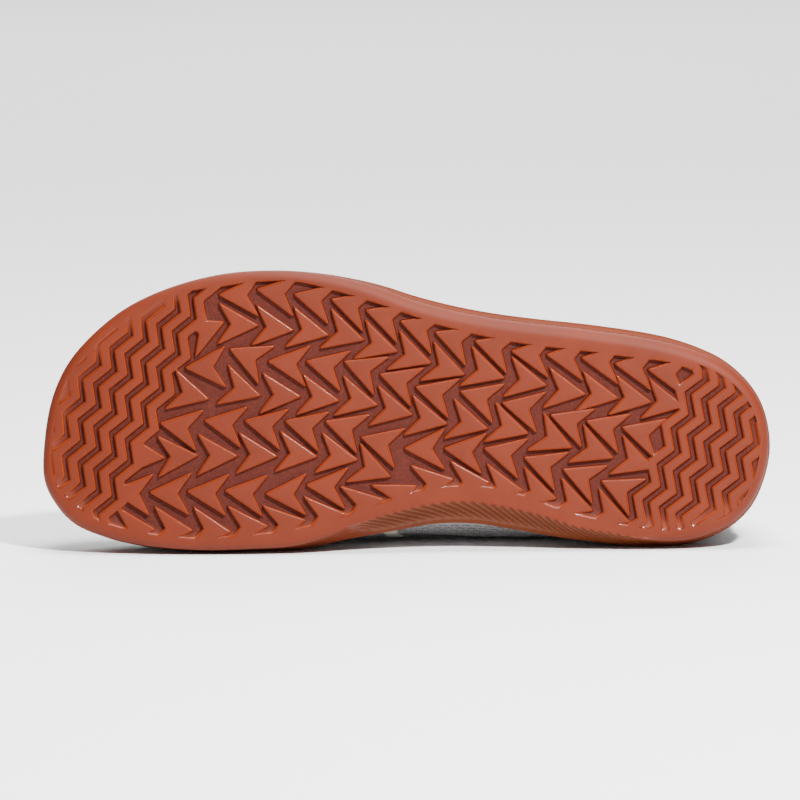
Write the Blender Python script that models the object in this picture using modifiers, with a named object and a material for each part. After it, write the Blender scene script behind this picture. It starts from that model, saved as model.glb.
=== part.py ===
"""Barefoot shoe for the left foot, empty and lying on its inner side.

The pieces are modelled with the sole down: X from heel to toe, Y to the outer side, Z up, in metres.
At the end an empty turns them all onto the side that the shoe lies on.
"""
import math

import bmesh
import bpy
from mathutils import Matrix, Vector

# Driving sizes in metres
SOLE_LENGTH = 0.276
BALL_WIDTH = 0.1095
RIM_HEIGHT = 0.0150
CUP_WALL = 0.0026
CUP_FLOOR = 0.0045
TREAD_DEPTH = 0.0020
WIDEST_SHARE = 0.76
LIP_BULGE = 0.06
LIP_ROUNDING = 0.40
EDGE_ROUNDING = 0.0040
ARCH_RIB_PITCH = 0.0035
ARCH_RIB_DEPTH = 0.0005
TOE_SPRING = 0.0090
HEEL_SPRING = 0.0020
INSOLE_THICKNESS = 0.0030
UPPER_WALL = 0.0018
INSTEP_HEIGHT = 0.084
BACK_HEIGHT = 0.070
COLLAR_LENGTH = 0.108
COLLAR_WIDTH = 0.066
COLLAR_BACK = 0.007
COLLAR_SHIFT = 0.0044
BINDING_DIAMETER = 0.0046
STRIP_THICKNESS = 0.0009
STRIP_WIDTH = 0.0055
GAP = 0.0003
SOFT_GAP = 0.0005

# Sizes of the tread
ARROW_LENGTH = 0.0150
ARROW_HALF_SPAN = 0.00775
ARROW_NOTCH = 0.0101
RIB_RUN = (-0.0020, -0.0078)
TOE_RIB_SLANT = (0.00665, -0.0064)
TOE_RIB_BREADTH = (-0.0034, -0.0006)
TOE_RIB_STEP = (0.00625, 0.0019)
HEEL_RIB_RUN = (-0.0024, -0.0083)
HEEL_RIB_SLANT = (0.0064, -0.0058)
HEEL_RIB_BREADTH = (-0.0032, -0.0010)
HEEL_RIB_STEP = (-0.00638, -0.00202)
RIBS_AT_EACH_END = 7

# Densities in kg per cubic metre, for the point that the shoe balances over
RUBBER_DENSITY = 1080.0
FOAM_DENSITY = 200.0
KNIT_DENSITY = 750.0

# Outline of the sole seen from below: along is a share of the length,
# lateral and medial are shares of the ball width
OUTLINE = (
    # along, lateral, medial
    (0.0127, 0.146, -0.160),
    (0.0360, 0.233, -0.247),
    (0.0725, 0.304, -0.311),
    (0.1087, 0.341, -0.345),
    (0.163, 0.371, -0.364),
    (0.254, 0.386, -0.364),
    (0.344, 0.389, -0.348),
    (0.399, 0.394, -0.341),
    (0.453, 0.406, -0.356),
    (0.507, 0.427, -0.394),
    (0.562, 0.456, -0.432),
    (0.634, 0.474, -0.488),
    (0.707, 0.469, -0.512),
    (0.779, 0.438, -0.530),
    (0.851, 0.371, -0.530),
    (0.906, 0.288, -0.510),
    (0.949, 0.183, -0.473),
    (0.978, 0.078, -0.407),
    (0.995, -0.046, -0.333),
)
HEEL_END = (0.0, 0.004)
TOE_END = (1.0, -0.195)

# Edge of the field that holds the lugs, in the same shares
FIELD = (
    # along, lateral, medial
    (0.0145, 0.122, -0.128),
    (0.033, 0.187, -0.187),
    (0.058, 0.247, -0.239),
    (0.087, 0.283, -0.268),
    (0.120, 0.296, -0.298),
    (0.170, 0.284, -0.302),
    (0.261, 0.291, -0.275),
    (0.348, 0.296, -0.224),
    (0.391, 0.304, -0.213),
    (0.435, 0.318, -0.223),
    (0.478, 0.336, -0.249),
    (0.525, 0.366, -0.300),
    (0.572, 0.394, -0.354),
    (0.620, 0.417, -0.404),
    (0.670, 0.435, -0.440),
    (0.725, 0.423, -0.467),
    (0.772, 0.396, -0.485),
    (0.833, 0.355, -0.487),
    (0.888, 0.276, -0.471),
    (0.928, 0.185, -0.440),
    (0.957, 0.096, -0.395),
    (0.978, 0.000, -0.342),
)
FIELD_HEEL_END = (0.0055, -0.010)
FIELD_TOE_END = (0.988, -0.183)

# How far the tread's edge lies inside the rim, as a share of the ball width
FLARE = (
    # along, lateral, medial
    (0.00, 0.012, 0.012),
    (0.12, 0.024, 0.020),
    (0.18, 0.028, 0.030),
    (0.26, 0.028, 0.043),
    (0.31, 0.026, 0.061),
    (0.36, 0.026, 0.069),
    (0.41, 0.026, 0.071),
    (0.45, 0.026, 0.067),
    (0.51, 0.024, 0.059),
    (0.55, 0.018, 0.046),
    (0.60, 0.010, 0.026),
    (0.66, 0.005, 0.012),
    (0.75, 0.004, 0.005),
    (1.00, 0.004, 0.004),
)

# Rounding of the tread's edge, as a share of the full rounding
SOFTNESS = (
    # along, lateral, medial
    (0.00, 0.80, 0.80),
    (0.12, 1.00, 0.60),
    (0.20, 1.00, 0.14),
    (0.55, 1.00, 0.14),
    (0.66, 0.85, 0.60),
    (0.80, 0.75, 0.75),
    (1.00, 0.75, 0.75),
)

# Lugs that set each row of arrows: the lugs between two of them are spaced evenly.
# The tip is in shares of length and ball width, the lean in degrees.
LUG_ROWS = (
    # row, points to, ((number, along, across, lean), ...)
    ("outer border", "toe", ((0, 0.7768, 0.363, -4), (1, 0.7257, 0.394, 4), (3, 0.6228, 0.384, 13),
                             (6, 0.4764, 0.305, 15), (7, 0.4207, 0.288, 13), (8, 0.3692, 0.265, 3),
                             (10, 0.2725, 0.265, 3), (12, 0.1797, 0.247, 4))),
    ("outer", "heel", ((0, 0.7678, 0.270, -29), (1, 0.7203, 0.270, -3), (4, 0.5736, 0.255, 11),
                       (7, 0.4312, 0.169, 14), (8, 0.3768, 0.170, 12), (9, 0.3178, 0.159, 7),
                       (10, 0.2630, 0.141, 4), (13, 0.1268, 0.132, 6))),
    ("outer inside", "toe", ((0, 0.8134, 0.100, -7), (1, 0.7551, 0.179, 18), (2, 0.7007, 0.149, 1),
                             (4, 0.5971, 0.174, 16), (6, 0.4960, 0.109, 11), (7, 0.4341, 0.109, 12),
                             (8, 0.3754, 0.083, 8), (9, 0.3076, 0.058, 14), (11, 0.2080, 0.039, 11))),
    ("middle outer", "heel", ((0, 0.7779, 0.000, 9), (1, 0.7076, 0.028, 11), (2, 0.6525, 0.039, -1),
                              (4, 0.5464, 0.035, 8), (6, 0.4486, -0.007, 7), (8, 0.3366, -0.013, 11),
                              (9, 0.2746, -0.047, 18), (11, 0.1601, -0.091, 14))),
    ("middle inner", "toe", ((0, 0.8406, -0.100, 5), (1, 0.7801, -0.076, 4), (4, 0.6149, -0.039, 13),
                             (5, 0.5638, -0.083, 10), (6, 0.5029, -0.106, -5), (8, 0.3942, -0.080, 9),
                             (9, 0.3380, -0.098, 15), (11, 0.2293, -0.153, 19))),
    ("inner inside", "heel", ((0, 0.8312, -0.218, 0), (1, 0.7859, -0.199, -7), (4, 0.6221, -0.163, 2),
                              (5, 0.5663, -0.161, 5), (6, 0.5192, -0.208, 15))),
    ("inner", "toe", ((0, 0.8986, -0.350, 0), (1, 0.8457, -0.342, -3), (3, 0.7428, -0.311, 2),
                      (4, 0.6866, -0.309, -5), (5, 0.6322, -0.265, -1))),
    ("inner border", "heel", ((0, 0.8355, -0.467, -2), (2, 0.7304, -0.451, 1), (4, 0.6301, -0.386, -14),
                              (5, 0.5761, -0.351, -10), (6, 0.5264, -0.288, -16), (7, 0.4830, -0.231, -32),
                              (8, 0.4330, -0.195, -15), (9, 0.3826, -0.195, -4), (11, 0.2895, -0.229, 12),
                              (13, 0.1866, -0.285, 15))),
)

# Outermost corner of the zigzag rib that lies next to the arrows, in the same shares
TOE_RIB_START = (0.8623, -0.0475)
HEEL_RIB_START = (0.1549, 0.0626)

# Lines of the upper from the sole to the collar, around the shoe.
# along: where the line leaves the sole; turn: where it meets the collar, in degrees from its front;
# rise: how steeply it starts, and fall: how it comes down from the collar, shares of the instep height;
# lean: how far it swells outward, share of the ball width; reach: how far it runs out, share of the length.
UPPER_LINES = (
    # side, along, turn, rise, lean, reach, fall
    ("heel", 0.000, 180, 0.33, 0.035, 0.005, 0.28),
    ("lateral", 0.070, 158, 0.33, 0.035, 0.005, 0.26),
    ("lateral", 0.180, 130, 0.32, 0.035, 0.010, 0.22),
    ("lateral", 0.300, 104, 0.32, 0.030, 0.018, 0.20),
    ("lateral", 0.420, 80, 0.34, 0.035, 0.030, 0.26),
    ("lateral", 0.540, 56, 0.34, 0.040, 0.080, 0.20),
    ("lateral", 0.680, 36, 0.32, 0.030, 0.130, 0.22),
    ("lateral", 0.820, 19, 0.31, 0.020, 0.180, 0.27),
    ("lateral", 0.940, 8, 0.31, 0.012, 0.220, 0.32),
    ("toe", 1.000, 0, 0.31, 0.010, 0.240, 0.35),
    ("medial", 0.940, -9, 0.31, 0.012, 0.235, 0.33),
    ("medial", 0.820, -21, 0.33, 0.015, 0.195, 0.27),
    ("medial", 0.680, -38, 0.36, 0.020, 0.140, 0.21),
    ("medial", 0.540, -58, 0.38, 0.075, 0.085, 0.20),
    ("medial", 0.420, -82, 0.36, 0.165, 0.030, 0.24),
    ("medial", 0.300, -105, 0.33, 0.084, 0.018, 0.20),
    ("medial", 0.180, -131, 0.32, 0.034, 0.010, 0.22),
    ("medial", 0.070, -158, 0.33, 0.035, 0.005, 0.26),
)

# Height of the collar around its ring, between the back height (0) and the instep height (1)
COLLAR_LINE = (
    # turn, height
    (-40, 0.80),
    (0, 1.00),
    (40, 0.80),
    (75, 0.15),
    (110, -0.72),
    (145, -0.42),
    (180, 0.00),
    (215, -0.42),
)

# Colours, with roughness, of the materials
GUM = ((0.42, 0.095, 0.040, 1.0), 0.45)
KNIT = ((0.66, 0.65, 0.62, 1.0), 0.90)
BINDING = ((0.60, 0.59, 0.56, 1.0), 0.90)
CREAM = ((0.80, 0.77, 0.68, 1.0), 0.60)
FOAM = ((0.30, 0.30, 0.30, 1.0), 0.95)

# Shape of the collar seen from above: how much narrower its front is, and how full its ends are
COLLAR_TAPER = 0.20
COLLAR_FULLNESS = 0.78

# The strip's way over the upper: place is a share of the outline, up a share of the upper's line
STRIP_WAY = (
    # place, up
    (0.262, 0.03),
    (0.266, 0.30),
    (0.295, 0.60),
    (0.375, 0.82),
    (0.500, 0.89),
    (0.625, 0.82),
    (0.710, 0.60),
    (0.742, 0.30),
    (0.750, 0.03),
)

OUTLINE_STEPS = 24
FLAT_ANGLE = math.radians(0.05)
WELD = 0.00001
COLUMN_PITCH = 0.0125
UPPER_LEVELS = 9
FIELD_POINTS = 72
STRIP_PIECES = 40


def slopes(xs, ys):
    """Slopes that keep a curve through the points free of overshoot."""
    steps = [(ys[i + 1] - ys[i]) / (xs[i + 1] - xs[i]) for i in range(len(xs) - 1)]
    inner = []
    for before, after in zip(steps, steps[1:]):
        flat = before * after <= 0.0
        inner.append(0.0 if flat else 2.0 * before * after / (before + after))
    return [steps[0]] + inner + [steps[-1]]


def smooth_value(xs, ys, x):
    """Value at x of the smooth curve through the points."""
    x = min(max(x, xs[0]), xs[-1])
    i = max(k for k in range(len(xs) - 1) if xs[k] <= x)
    m = slopes(xs, ys)
    h = xs[i + 1] - xs[i]
    t = (x - xs[i]) / h
    rise = ys[i] * (2 * t ** 3 - 3 * t ** 2 + 1) + ys[i + 1] * (3 * t ** 2 - 2 * t ** 3)
    return rise + h * (m[i] * (t ** 3 - 2 * t ** 2 + t) + m[i + 1] * (t ** 3 - t ** 2))


def side_value(table, point):
    """Value of an along, lateral, medial table at a point of the plan."""
    column = 1 if point.y > middle_at(point.x) else 2
    return smooth_value([row[0] for row in table], [row[column] for row in table],
                        point.x / SOLE_LENGTH)


def middle_at(x):
    """Line between the outer and the inner side, from the heel's end to the toe's end."""
    share = min(max(x / SOLE_LENGTH, 0.0), 1.0)
    heel, toe = HEEL_END[1] * BALL_WIDTH, TOE_END[1] * BALL_WIDTH
    return heel + (toe - heel) * smooth_value((0.0, 0.6, 1.0), (0.0, 0.2, 1.0), share)


def closed_curve(points, steps):
    """Smooth closed curve through the points, with so many steps between each two."""
    curve = []
    count = len(points)
    for i in range(count):
        a, b, c, d = (points[(i + k) % count] for k in (-1, 0, 1, 2))
        ta, tb, tc = ((b - a).length ** 0.5, (c - b).length ** 0.5, (d - c).length ** 0.5)
        m1 = ((b - a) / ta - (c - a) / (ta + tb) + (c - b) / tb) * tb
        m2 = ((c - b) / tb - (d - b) / (tb + tc) + (d - c) / tc) * tb
        for k in range(steps):
            t = k / steps
            curve.append(b * (2 * t ** 3 - 3 * t ** 2 + 1) + c * (3 * t ** 2 - 2 * t ** 3)
                         + m1 * (t ** 3 - 2 * t ** 2 + t) + m2 * (t ** 3 - t ** 2))
    return curve


def plan_loop(table, heel_end, toe_end):
    """Closed plan curve of a table: heel, outer side, toe, inner side."""
    scale = (SOLE_LENGTH, BALL_WIDTH)
    rows = [heel_end] + [(row[0], row[1]) for row in table] + [toe_end]
    rows += [(row[0], row[2]) for row in reversed(table)]
    points = [Vector((along * scale[0], across * scale[1])) for along, across in rows]
    return closed_curve(points, OUTLINE_STEPS)


def running_length(curve, crowding=lambda point: 1.0):
    """Length of a closed curve up to each of its points, stretched where crowding is higher."""
    sums = [0.0]
    for i, point in enumerate(curve):
        after = curve[(i + 1) % len(curve)]
        sums.append(sums[-1] + (after - point).length * crowding(point))
    return sums


def evenly(curve, count, crowding=lambda point: 1.0):
    """So many points around a closed curve, closer where crowding is higher."""
    sums = running_length(curve, crowding)
    picked = []
    i = 0
    for k in range(count):
        goal = sums[-1] * k / count
        while sums[i + 1] <= goal:
            i += 1
        share = (goal - sums[i]) / (sums[i + 1] - sums[i])
        picked.append(curve[i].lerp(curve[(i + 1) % len(curve)], share))
    return picked


def inward_normals(loop):
    """Unit normals of a closed plan loop that runs heel, outer side, toe, inner side."""
    normals = []
    for i in range(len(loop)):
        run = (loop[(i + 1) % len(loop)] - loop[i - 1]).normalized()
        normals.append(Vector((run.y, -run.x)))
    return normals


def in_arch(point):
    """How far a point of the outline lies in the ribbed arch, 0 to 1."""
    share = point.x / SOLE_LENGTH
    inside = smooth_value((0.0, 0.14, 0.20, 0.52, 0.57, 1.0), (0.0, 0.0, 1.0, 1.0, 0.0, 0.0), share)
    return inside if point.y < middle_at(point.x) else 0.0


def spring(point):
    """Lift of the sole at a place along the shoe: the toe curls up, the heel a little."""
    share = point.x / SOLE_LENGTH
    toe = max(0.0, (share - 0.66) / 0.34)
    heel = max(0.0, (0.10 - share) / 0.10)
    return TOE_SPRING * toe ** 2 + HEEL_SPRING * heel ** 2


def new_object(name, mesh, collection):
    piece = bpy.data.objects.new(name, mesh)
    collection.objects.link(piece)
    return piece


def mesh_from(name, verts, faces):
    mesh = bpy.data.meshes.new(name)
    mesh.from_pydata(verts, [], faces)
    mesh.validate()
    return mesh


def outward(mesh):
    """Turn all faces outward."""
    work = bmesh.new()
    work.from_mesh(mesh)
    bmesh.ops.recalc_face_normals(work, faces=work.faces)
    work.to_mesh(mesh)
    work.free()


def merge_flat(work):
    """Join faces that lie in one plane."""
    bmesh.ops.dissolve_limit(work, angle_limit=FLAT_ANGLE, verts=work.verts, edges=work.edges)


def applied(piece):
    """Mesh of a piece with its modifiers applied; the piece then keeps that mesh alone."""
    bpy.context.view_layer.update()
    graph = bpy.context.evaluated_depsgraph_get()
    mesh = bpy.data.meshes.new_from_object(piece.evaluated_get(graph))
    piece.modifiers.clear()
    piece.data = mesh
    return mesh


def material(name, look):
    colour, roughness = look
    made = bpy.data.materials.new(name)
    made.use_nodes = True
    shader = made.node_tree.nodes["Principled BSDF"]
    shader.inputs["Base Color"].default_value = colour
    shader.inputs["Roughness"].default_value = roughness
    shader.inputs["Metallic"].default_value = 0.0
    made.diffuse_color = colour
    return made


# Outsole

def crowding(point):
    """How much closer than usual the columns of the sole stand at a point of the rim."""
    share = point.x / SOLE_LENGTH
    round_end = smooth_value((0.0, 0.12, 0.25, 0.80, 0.92, 1.0), (0.9, 0.5, 0.0, 0.0, 0.6, 0.9), share)
    in_ribs = 2.0 * COLUMN_PITCH / ARCH_RIB_PITCH
    return in_ribs if in_arch(point) > 0.0 else 1.0 + round_end


def sole_columns():
    """Points around the rim, two to each rib of the arch."""
    curve = plan_loop(OUTLINE, HEEL_END, TOE_END)
    count = 2 * round(running_length(curve, crowding)[-1] / COLUMN_PITCH / 2)
    loop = evenly(curve, count, crowding)
    return loop, inward_normals(loop)


def plain_columns():
    """The columns that the insole and the upper share with the cup, with fewer along the ribs."""
    loop, normals = sole_columns()
    sums = running_length(loop)
    return [(point, normal, sums[i] / sums[-1]) for i, (point, normal) in enumerate(zip(loop, normals))
            if in_arch(point) == 0.0 or i % 4 == 0]


def side_inset(point, height):
    """How far the cup's outer side lies inside the rim's outline at a height."""
    flare = side_value(FLARE, point) * BALL_WIDTH
    share = min(max(height / (WIDEST_SHARE * RIM_HEIGHT), 0.0), 1.0)
    return flare * (1.0 - share) ** 1.15


def outer_profile(point):
    """Inset and height of the cup's outer side, from the tread's edge up to the rim."""
    rounding = EDGE_ROUNDING * side_value(SOFTNESS, point)
    profile = []
    for turn in (90.0, 45.0, 0.0):
        height = rounding * (1.0 - math.sin(math.radians(turn)))
        back = rounding * (1.0 - math.cos(math.radians(turn)))
        profile.append((side_inset(point, height) + back, height))
    widest = WIDEST_SHARE * RIM_HEIGHT
    for share in (0.35, 0.70, 1.0):
        height = rounding + (widest - rounding) * share
        profile.append((side_inset(point, height), height))
    profile.append((LIP_BULGE * CUP_WALL, 0.5 * (widest + RIM_HEIGHT)))
    profile.append((LIP_ROUNDING * CUP_WALL, RIM_HEIGHT))
    return profile


def cup_inset(point, height):
    """How far the cup's inner wall lies inside the rim's outline at a height."""
    return side_inset(point, height) + CUP_WALL


def sole_body(collection):
    """The cup without its tread, flat on the ground."""
    loop, normals = sole_columns()
    count = len(loop)
    rings = []
    for level in range(8):
        ring = []
        for i, (point, normal) in enumerate(zip(loop, normals)):
            inset, height = outer_profile(point)[level]
            if 3 <= level <= 4 and (i + level) % 2:
                fade = (1.0, 0.6)[level - 3]
                inset += ARCH_RIB_DEPTH * in_arch(point) * fade
            ring.append((point + normal * inset, height))
        rings.append(ring)
    for height in (RIM_HEIGHT, CUP_FLOOR):
        rings.append([(point + normal * cup_inset(point, height), height)
                      for point, normal in zip(loop, normals)])
    verts = [(place.x, place.y, height) for ring in rings for place, height in ring]
    faces = []
    for level in range(len(rings) - 1):
        low, high = level * count, (level + 1) * count
        for i in range(count):
            j = (i + 1) % count
            if level < 5 and (i + level) % 2:
                faces.append((low + i, high + i, high + j))
                faces.append((low + i, high + j, low + j))
            else:
                faces.append((low + i, high + i, low + j))
                faces.append((low + j, high + i, high + j))
    faces.append(tuple(range(count)))
    faces.append(tuple((len(rings) - 1) * count + i for i in range(count)))
    mesh = mesh_from("outsole", verts, faces)
    outward(mesh)
    return new_object("outsole", mesh, collection)


def flat_solid(name, outlines, low, high, collection):
    """Straight-sided solid over closed plan outlines, from one height to another."""
    curve = bpy.data.curves.new(name, "CURVE")
    curve.dimensions = "2D"
    curve.fill_mode = "BOTH"
    curve.extrude = (high - low) / 2
    for outline in outlines:
        spline = curve.splines.new("POLY")
        spline.points.add(len(outline) - 1)
        spline.use_cyclic_u = True
        for slot, place in zip(spline.points, outline):
            slot.co = (place[0], place[1], 0.0, 1.0)
    guide = new_object(name + "_outline", curve, collection)
    guide.location.z = (low + high) / 2
    bpy.context.view_layer.update()
    graph = bpy.context.evaluated_depsgraph_get()
    mesh = bpy.data.meshes.new_from_object(guide.evaluated_get(graph))
    mesh.transform(guide.matrix_world)
    work = bmesh.new()
    work.from_mesh(mesh)
    bmesh.ops.remove_doubles(work, verts=work.verts, dist=WELD)
    merge_flat(work)
    bmesh.ops.recalc_face_normals(work, faces=work.faces)
    work.to_mesh(mesh)
    work.free()
    bpy.data.objects.remove(guide)
    solid = new_object(name, mesh, collection)
    solid.hide_render = True
    solid.display_type = "WIRE"
    return solid


def arrow(tip, points_to, lean):
    """Outline of one arrow lug."""
    back = -1.0 if points_to == "toe" else 1.0
    turn = Matrix.Rotation(math.radians(lean), 2)
    corners = ((0.0, 0.0), (back * ARROW_LENGTH, ARROW_HALF_SPAN), (back * ARROW_NOTCH, 0.0),
               (back * ARROW_LENGTH, -ARROW_HALF_SPAN))
    return [tip + turn @ Vector(corner) for corner in corners]


def arrows():
    """Outlines of all arrow lugs, row by row."""
    outlines = []
    for _, points_to, lugs in LUG_ROWS:
        numbers = [lug[0] for lug in lugs]
        for number in range(numbers[0], numbers[-1] + 1):
            after = min(k for k in range(1, len(lugs)) if numbers[k] >= number)
            start, end = lugs[after - 1], lugs[after]
            share = (number - start[0]) / (end[0] - start[0])
            along, across, lean = (start[k] + (end[k] - start[k]) * share for k in (1, 2, 3))
            tip = Vector((along * SOLE_LENGTH, across * BALL_WIDTH))
            outlines.append(arrow(tip, points_to, lean))
    return outlines


def zigzag_ribs(start, run, slant, breadth, step):
    """Outlines of the zigzag ribs at one end of the tread, wider than the field."""
    corner = Vector((start[0] * SOLE_LENGTH, start[1] * BALL_WIDTH))
    period = Vector(run) + Vector(slant)
    outlines = []
    for rib in range(RIBS_AT_EACH_END):
        edge = []
        for fold in range(-6, 7):
            place = corner + Vector(step) * rib + period * fold
            edge.append(place)
            edge.append(place + Vector(run))
        outlines.append(edge + [place + Vector(breadth) for place in reversed(edge)])
    return outlines


def cut_with(piece, cutter):
    cut = piece.modifiers.new(cutter.name, "BOOLEAN")
    cut.operation = "DIFFERENCE"
    cut.solver = "EXACT"
    cut.object = cutter


def outsole(collection, cutters):
    """Gum cup sole with its arrow lugs and zigzag ribs standing in a sunk field."""
    body = sole_body(collection)
    below = -TREAD_DEPTH
    field_curve = plan_loop(FIELD, FIELD_HEEL_END, FIELD_TOE_END)
    field = flat_solid("tread_field", [evenly(field_curve, FIELD_POINTS)], below, TREAD_DEPTH, cutters)
    reach = 2.0 * TREAD_DEPTH
    lugs = flat_solid("arrow_lugs", arrows(), -reach, reach, cutters)
    toe_ribs = flat_solid("toe_ribs", zigzag_ribs(TOE_RIB_START, RIB_RUN, TOE_RIB_SLANT,
                                                  TOE_RIB_BREADTH, TOE_RIB_STEP),
                          -reach, reach, cutters)
    heel_ribs = flat_solid("heel_ribs", zigzag_ribs(HEEL_RIB_START, HEEL_RIB_RUN, HEEL_RIB_SLANT,
                                                    HEEL_RIB_BREADTH, HEEL_RIB_STEP),
                           -reach, reach, cutters)
    for standing in (lugs, toe_ribs, heel_ribs):
        cut_with(field, standing)
    applied(field)
    cut_with(body, field)
    mesh = applied(body)
    work = bmesh.new()
    work.from_mesh(mesh)
    merge_flat(work)
    for share in (0.05, 0.10, 0.66, 0.72, 0.77, 0.82, 0.86, 0.90, 0.94, 0.975):
        everything = work.verts[:] + work.edges[:] + work.faces[:]
        bmesh.ops.bisect_plane(work, geom=everything, dist=WELD,
                               plane_co=(share * SOLE_LENGTH, 0.0, 0.0), plane_no=(1.0, 0.0, 0.0))
    for vert in work.verts:
        vert.co.z += spring(vert.co)
    work.to_mesh(mesh)
    work.free()
    body.data.materials.append(material("gum_rubber", GUM))
    return body


# Insole

def insole(collection):
    """Flat foam footbed inside the upper."""
    low = CUP_FLOOR + GAP
    verts = []
    for height in (low, low + INSOLE_THICKNESS):
        for point, normal, _ in COLUMNS:
            place = point + normal * (cup_inset(point, low) + UPPER_WALL + GAP + SOFT_GAP)
            verts.append((place.x, place.y, height + spring(place)))
    count = len(COLUMNS)
    faces = [tuple(range(count)), tuple(range(count, 2 * count))]
    faces += [(i, (i + 1) % count, count + (i + 1) % count, count + i) for i in range(count)]
    mesh = mesh_from("insole", verts, faces)
    outward(mesh)
    piece = new_object("insole", mesh, collection)
    piece.data.materials.append(material("foam", FOAM))
    return piece


# Upper

def upper_lines():
    """The table's lines with their place around the outline, as a share of its length."""
    curve = plan_loop(OUTLINE, HEEL_END, TOE_END)
    sums = running_length(curve)
    lines = []
    for side, along, *values in UPPER_LINES:
        def misfit(i):
            point = curve[i]
            wrong = side in ("lateral", "medial") and (point.y > middle_at(point.x)) != (side == "lateral")
            return abs(point.x - along * SOLE_LENGTH) + (1.0 if wrong else 0.0)
        best = min(range(len(curve)), key=misfit)
        lines.append([sums[best] / sums[-1], (180 - values[0]) % 360] + values[1:])
    return sorted(lines)


def line_at(share):
    """Turn from the heel, rise, lean, reach and fall of the upper's line at a share of the outline."""
    last, first, second = LINES[-1], LINES[0], LINES[1]
    xs = [last[0] - 1.0] + [row[0] for row in LINES] + [first[0] + 1.0, second[0] + 1.0]
    values = []
    for column in range(1, 6):
        full_turn = 360.0 if column == 1 else 0.0
        ys = [last[column] - full_turn] + [row[column] for row in LINES]
        ys += [first[column] + full_turn, second[column] + full_turn]
        values.append(smooth_value(xs, ys, share))
    return values


def collar_point(turn):
    """Point of the collar at a turn from the heel round the outer side, in degrees."""
    angle = math.radians(180.0 - turn)
    from_front = abs((180.0 - turn + 180.0) % 360.0 - 180.0)
    height = smooth_value([row[0] for row in COLLAR_LINE], [row[1] for row in COLLAR_LINE], from_front)
    ease = 0.5 + 0.5 * math.cos(angle)
    half = COLLAR_WIDTH / 2 * (1.0 - COLLAR_TAPER * ease)
    side = math.copysign(abs(math.sin(angle)) ** COLLAR_FULLNESS, math.sin(angle))
    return Vector((COLLAR_BACK + COLLAR_LENGTH / 2 * (1.0 + math.cos(angle)),
                   half * side - COLLAR_SHIFT * ease,
                   BACK_HEIGHT + (INSTEP_HEIGHT - BACK_HEIGHT) * height))


def upper_line(point, normal, share, levels):
    """Points of the upper's outer face from inside the cup up to the collar."""
    turn, rise, lean, reach, fall = line_at(share)
    line = []
    for height in (CUP_FLOOR + GAP, RIM_HEIGHT):
        place = point + normal * (cup_inset(point, height) + GAP)
        line.append(Vector((place.x, place.y, height + spring(place))))
    start, end = line[-1], collar_point(turn)
    outward_side = Vector((-normal.x, -normal.y, 0.0))
    first = start + outward_side * lean * BALL_WIDTH + Vector((0.0, 0.0, rise * INSTEP_HEIGHT))
    toward = Vector((start.x - end.x, start.y - end.y, 0.0)).normalized()
    last = end + toward * reach * SOLE_LENGTH - Vector((0.0, 0.0, fall * INSTEP_HEIGHT))
    for level in range(1, levels + 1):
        t = level / levels
        line.append(start * (1 - t) ** 3 + first * 3 * t * (1 - t) ** 2
                    + last * 3 * t * t * (1 - t) + end * t ** 3)
    return line


def upper(collection):
    """Hollow knitted shell, open at the collar and underneath."""
    height = len(GRID[0])
    count = len(GRID)
    verts = [place for line in GRID for place in line]
    faces = []
    for i in range(count):
        j = (i + 1) % count
        for level in range(height - 1):
            low, high = i * height + level, j * height + level
            faces.append((low, low + 1, high + 1))
            faces.append((low, high + 1, high))
    mesh = mesh_from("upper", verts, faces)
    piece = new_object("upper", mesh, collection)
    shell = piece.modifiers.new("wall", "SOLIDIFY")
    shell.thickness = UPPER_WALL
    shell.offset = -1.0
    shell.use_even_offset = True
    piece.data.materials.append(material("pale_knit", KNIT))
    return piece


def on_upper(place, up):
    """Point of the upper's outer face: place around the outline, up the line above the rim."""
    shares = [share for _, _, share in COLUMNS] + [1.0]
    place = place % 1.0
    i = max(k for k in range(len(COLUMNS)) if shares[k] <= place)
    side = (place - shares[i]) / (shares[i + 1] - shares[i])
    level = 1 + up * UPPER_LEVELS
    k = min(int(level), len(GRID[0]) - 2)
    a, b = GRID[i], GRID[(i + 1) % len(GRID)]
    return a[k].lerp(b[k], side).lerp(a[k + 1].lerp(b[k + 1], side), level - k)


def strip_way(share):
    """Place and height on the upper at a share of the strip's length."""
    shares = [i / (len(STRIP_WAY) - 1) for i in range(len(STRIP_WAY))]
    share = min(max(share, 0.0), 1.0)
    return [smooth_value(shares, [row[k] for row in STRIP_WAY], share) for k in (0, 1)]


def saddle_strip(collection):
    """Pale strip from the inner waist over the instep to the outer waist."""
    nudge = 0.5 / STRIP_PIECES
    verts = []
    for i in range(STRIP_PIECES + 1):
        place, up = strip_way(i / STRIP_PIECES)
        middle = on_upper(place, up)
        before = on_upper(*strip_way(i / STRIP_PIECES - nudge))
        after = on_upper(*strip_way(i / STRIP_PIECES + nudge))
        around = on_upper(place + nudge, up) - on_upper(place - nudge, up)
        upward = on_upper(place, min(up + nudge, 1.0)) - on_upper(place, max(up - nudge, 0.0))
        out = upward.cross(around).normalized()
        across = (after - before).cross(out).normalized() * STRIP_WIDTH / 2
        low, high = SOFT_GAP, SOFT_GAP + STRIP_THICKNESS
        for height, side in ((low, -1), (low, 1), (high, 1), (high, -1)):
            verts.append(middle + out * height + across * side)
    faces = [(0, 1, 2, 3), tuple(4 * STRIP_PIECES + k for k in range(4))]
    for i in range(STRIP_PIECES):
        for k in range(4):
            faces.append((4 * i + k, 4 * i + (k + 1) % 4, 4 * i + 4 + (k + 1) % 4, 4 * i + 4 + k))
    mesh = mesh_from("saddle_strip", verts, faces)
    outward(mesh)
    piece = new_object("saddle_strip", mesh, collection)
    piece.data.materials.append(material("cream_strip", CREAM))
    return piece


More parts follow.
